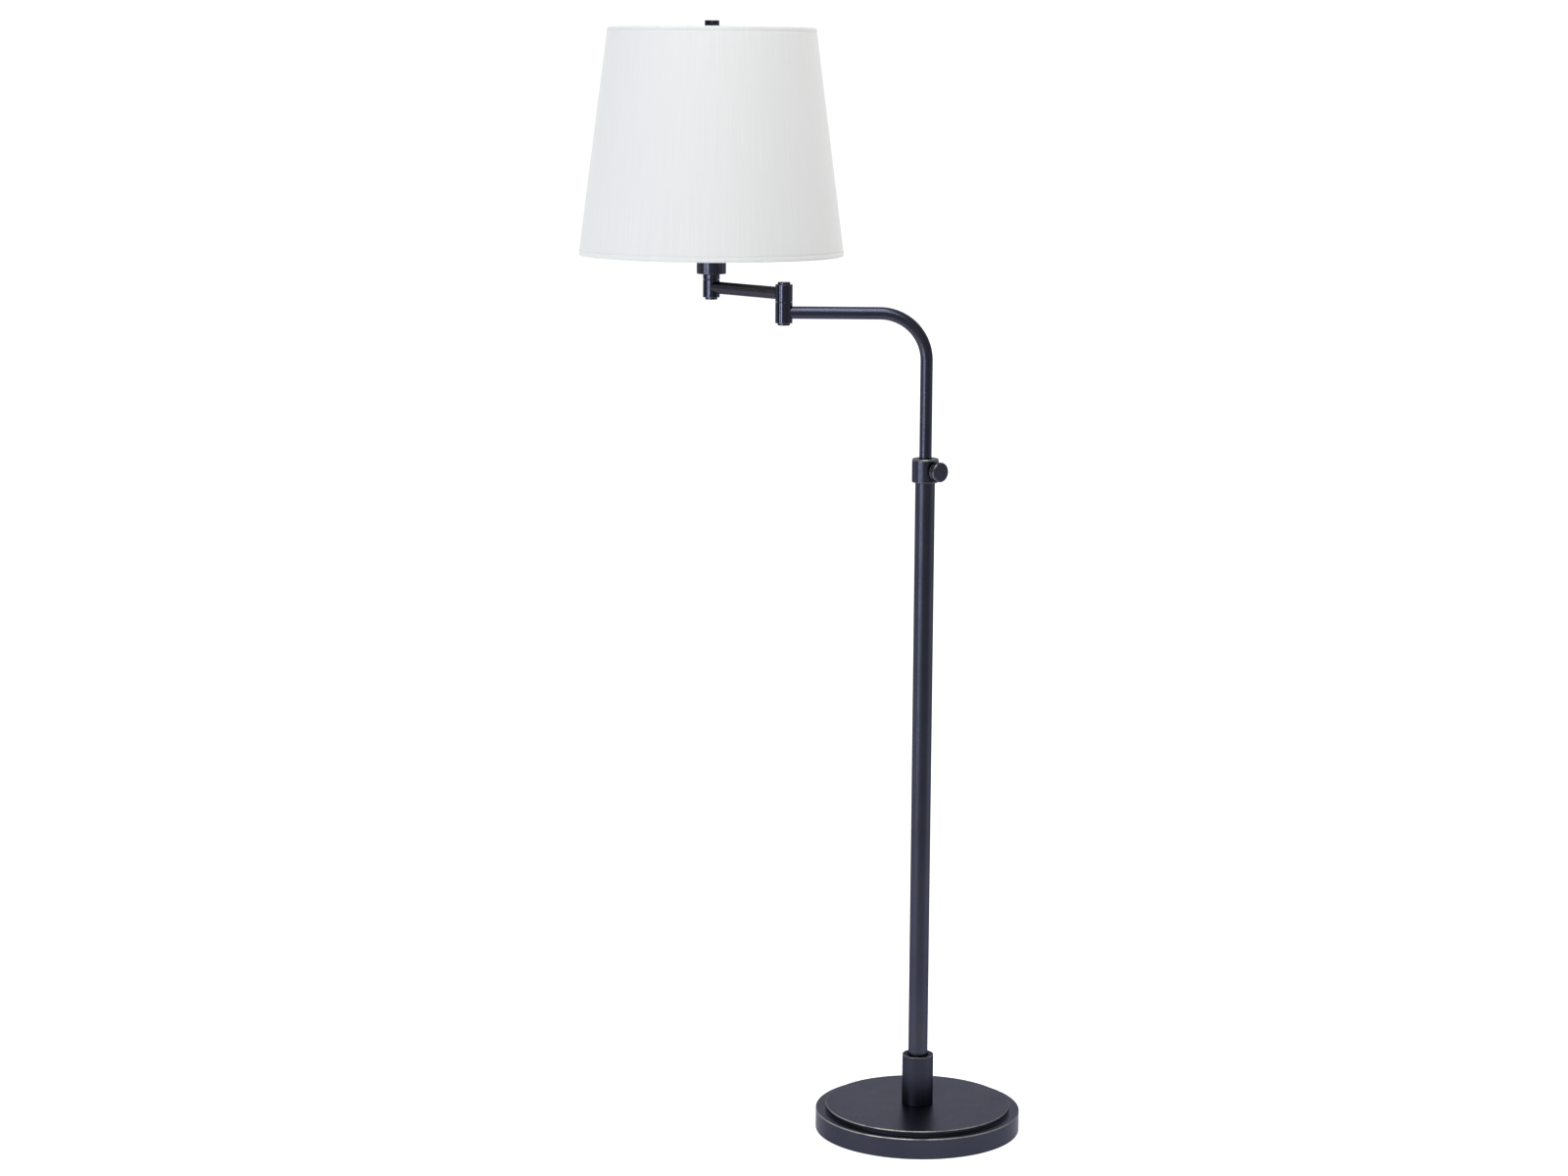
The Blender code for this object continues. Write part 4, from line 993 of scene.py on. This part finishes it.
# ---------------------------------------------------------------- stage, lights, camera
def build_stage():
    """A pale round floor that glows round and behind the lamp, and so merges with the white backdrop."""
    under = -0.0002
    profile = [(r, under, 0.0) for r in (0.0, 0.4, 1.2, 3.0, 6.0, FLOOR_R)]
    mesh = lathe_mesh("studio_floor", profile, 64)
    s = Shader("studio_white", roughness=0.9)
    cloud = s.remap(s.noise(3.0, 3.0), 0.3, 0.7)
    s.set("Base Color", s.mix(cloud, (0.48, 0.48, 0.48), (0.51, 0.51, 0.51)))
    s.bsdf.inputs["Specular IOR Level"].default_value = 0.1
    s.bsdf.inputs["Emission Color"].default_value = (1.0, 1.0, 1.0, 1.0)
    place = s.node("ShaderNodeTexCoord").outputs["Object"]
    depth = s.node("ShaderNodeSeparateXYZ", {"Vector": place}).outputs["Y"]
    s.set("Emission Strength", s.remap(depth, GLOW_FROM, GLOW_TO, 0.0, FLOOR_GLOW))
    mesh.materials.append(s.material)
    floor = bpy.data.objects.new("studio_floor", mesh)
    bpy.context.scene.collection.objects.link(floor)


def area_light(name, place, target, size, power, colour=(1.0, 1.0, 1.0)):
    data = bpy.data.lights.new(name, "AREA")
    data.shape = "RECTANGLE"
    data.size, data.size_y = size
    data.energy = power
    data.color = colour
    light = bpy.data.objects.new(name, data)
    light.location = place
    light.rotation_euler = (Vector(target) - Vector(place)).to_track_quat("-Z", "Y").to_euler()
    bpy.context.scene.collection.objects.link(light)
    return light


def build_world():
    """A white studio: brightest behind the lamp, grey in front, dark and cool on the left."""
    world = bpy.data.worlds.new("studio")
    world.use_nodes = True
    tree = world.node_tree
    background = tree.nodes["Background"]
    where = tree.nodes.new("ShaderNodeTexCoord").outputs["Generated"]
    split = tree.nodes.new("ShaderNodeSeparateXYZ")
    tree.links.new(where, split.inputs[0])

    def ramp(source, stops):
        made = tree.nodes.new("ShaderNodeValToRGB")
        made.color_ramp.interpolation = "EASE"
        while len(made.color_ramp.elements) < len(stops):
            made.color_ramp.elements.new(0.5)
        for element, (place, colour) in zip(made.color_ramp.elements, stops):
            element.position = place
            element.color = (*colour, 1.0)
        shift = tree.nodes.new("ShaderNodeMapRange")
        shift.inputs["From Min"].default_value = -1.0
        tree.links.new(source, shift.inputs["Value"])
        tree.links.new(shift.outputs[0], made.inputs[0])
        return made.outputs[0]

    sides = ramp(split.outputs["X"], [(0.0, SKY_LEFT), (0.5, SKY_FRONT), (1.0, SKY_RIGHT)])
    depth = ramp(split.outputs["Y"], [(0.45, (0.0, 0.0, 0.0)), (0.80, (1.0, 1.0, 1.0))])
    mix = tree.nodes.new("ShaderNodeMix")
    mix.data_type = "RGBA"
    tree.links.new(depth, mix.inputs[0])
    tree.links.new(sides, mix.inputs[6])
    mix.inputs[7].default_value = (SKY_BACK, SKY_BACK, SKY_BACK, 1.0)
    tree.links.new(mix.outputs[2], background.inputs["Color"])
    background.inputs["Strength"].default_value = 1.0
    bpy.context.scene.world = world
    bpy.context.scene.view_settings.view_transform = "Standard"


def build_lights():
    """Two upright strips on the left, a dim pair above them for the knuckles, and soft top lights."""
    cool = (0.92, 0.96, 1.0)
    area_light("strip_left", (-2.42, -1.76, 0.43), (0.0, 0.0, 0.43), (0.40, 0.86), 11.0, cool)
    area_light("strip_front", (-1.77, -2.55, 0.62), (-0.1, 0.0, 0.7), (0.34, 0.60), 8.0, cool)
    area_light("high_left", (-2.50, -1.66, 1.01), (-0.1, 0.0, 1.01), (0.40, 0.28), 3.4, cool)
    area_light("high_front", (-1.68, -2.60, 1.05), (HEAD.x, HEAD.y, 1.08), (0.40, 0.26), 6.4, cool)
    area_light("strip_right", (2.8, -1.0, 0.7), (0.0, 0.0, 0.6), (0.50, 1.3), 0.9, (1.0, 0.99, 0.96))
    area_light("front_top", (0.05, -2.1, 3.4), (-0.2, 0.0, 1.2), (1.8, 1.2), 32.0)
    area_light("overhead", (-0.15, -0.55, 3.3), (-0.15, 0.0, 1.0), (1.0, 0.8), 18.0)


def build_camera():
    focal, sensor = 75.445, 36.0
    place = Vector((-0.10458, -4.1758, 1.37183))
    pitch, yaw, roll = math.radians(8.908), math.radians(-1.022), math.radians(0.353)
    forward = Vector((math.sin(yaw) * math.cos(pitch), math.cos(yaw) * math.cos(pitch), -math.sin(pitch)))
    right = Vector((math.cos(yaw), -math.sin(yaw), 0.0))
    up = right.cross(forward)
    across = right * math.cos(roll) + up * math.sin(roll)
    upward = up * math.cos(roll) - right * math.sin(roll)
    data = bpy.data.cameras.new("camera")
    data.lens = focal
    data.sensor_width = sensor
    data.shift_x, data.shift_y = -0.00031, 0.00028
    camera = bpy.data.objects.new("camera", data)
    turn = Matrix((across, upward, -forward)).transposed().to_4x4()
    camera.matrix_world = Matrix.Translation(place) @ turn
    bpy.context.scene.collection.objects.link(camera)
    bpy.context.scene.camera = camera


build_camera()
build_stage()
build_world()
build_lights()
finish_cad_nodes()
build_base()
build_clamp()
build_mast()
build_knuckles()
build_socket()
build_bulb()
build_harp()
RING = build_shade()
build_spider(RING)
build_finial()
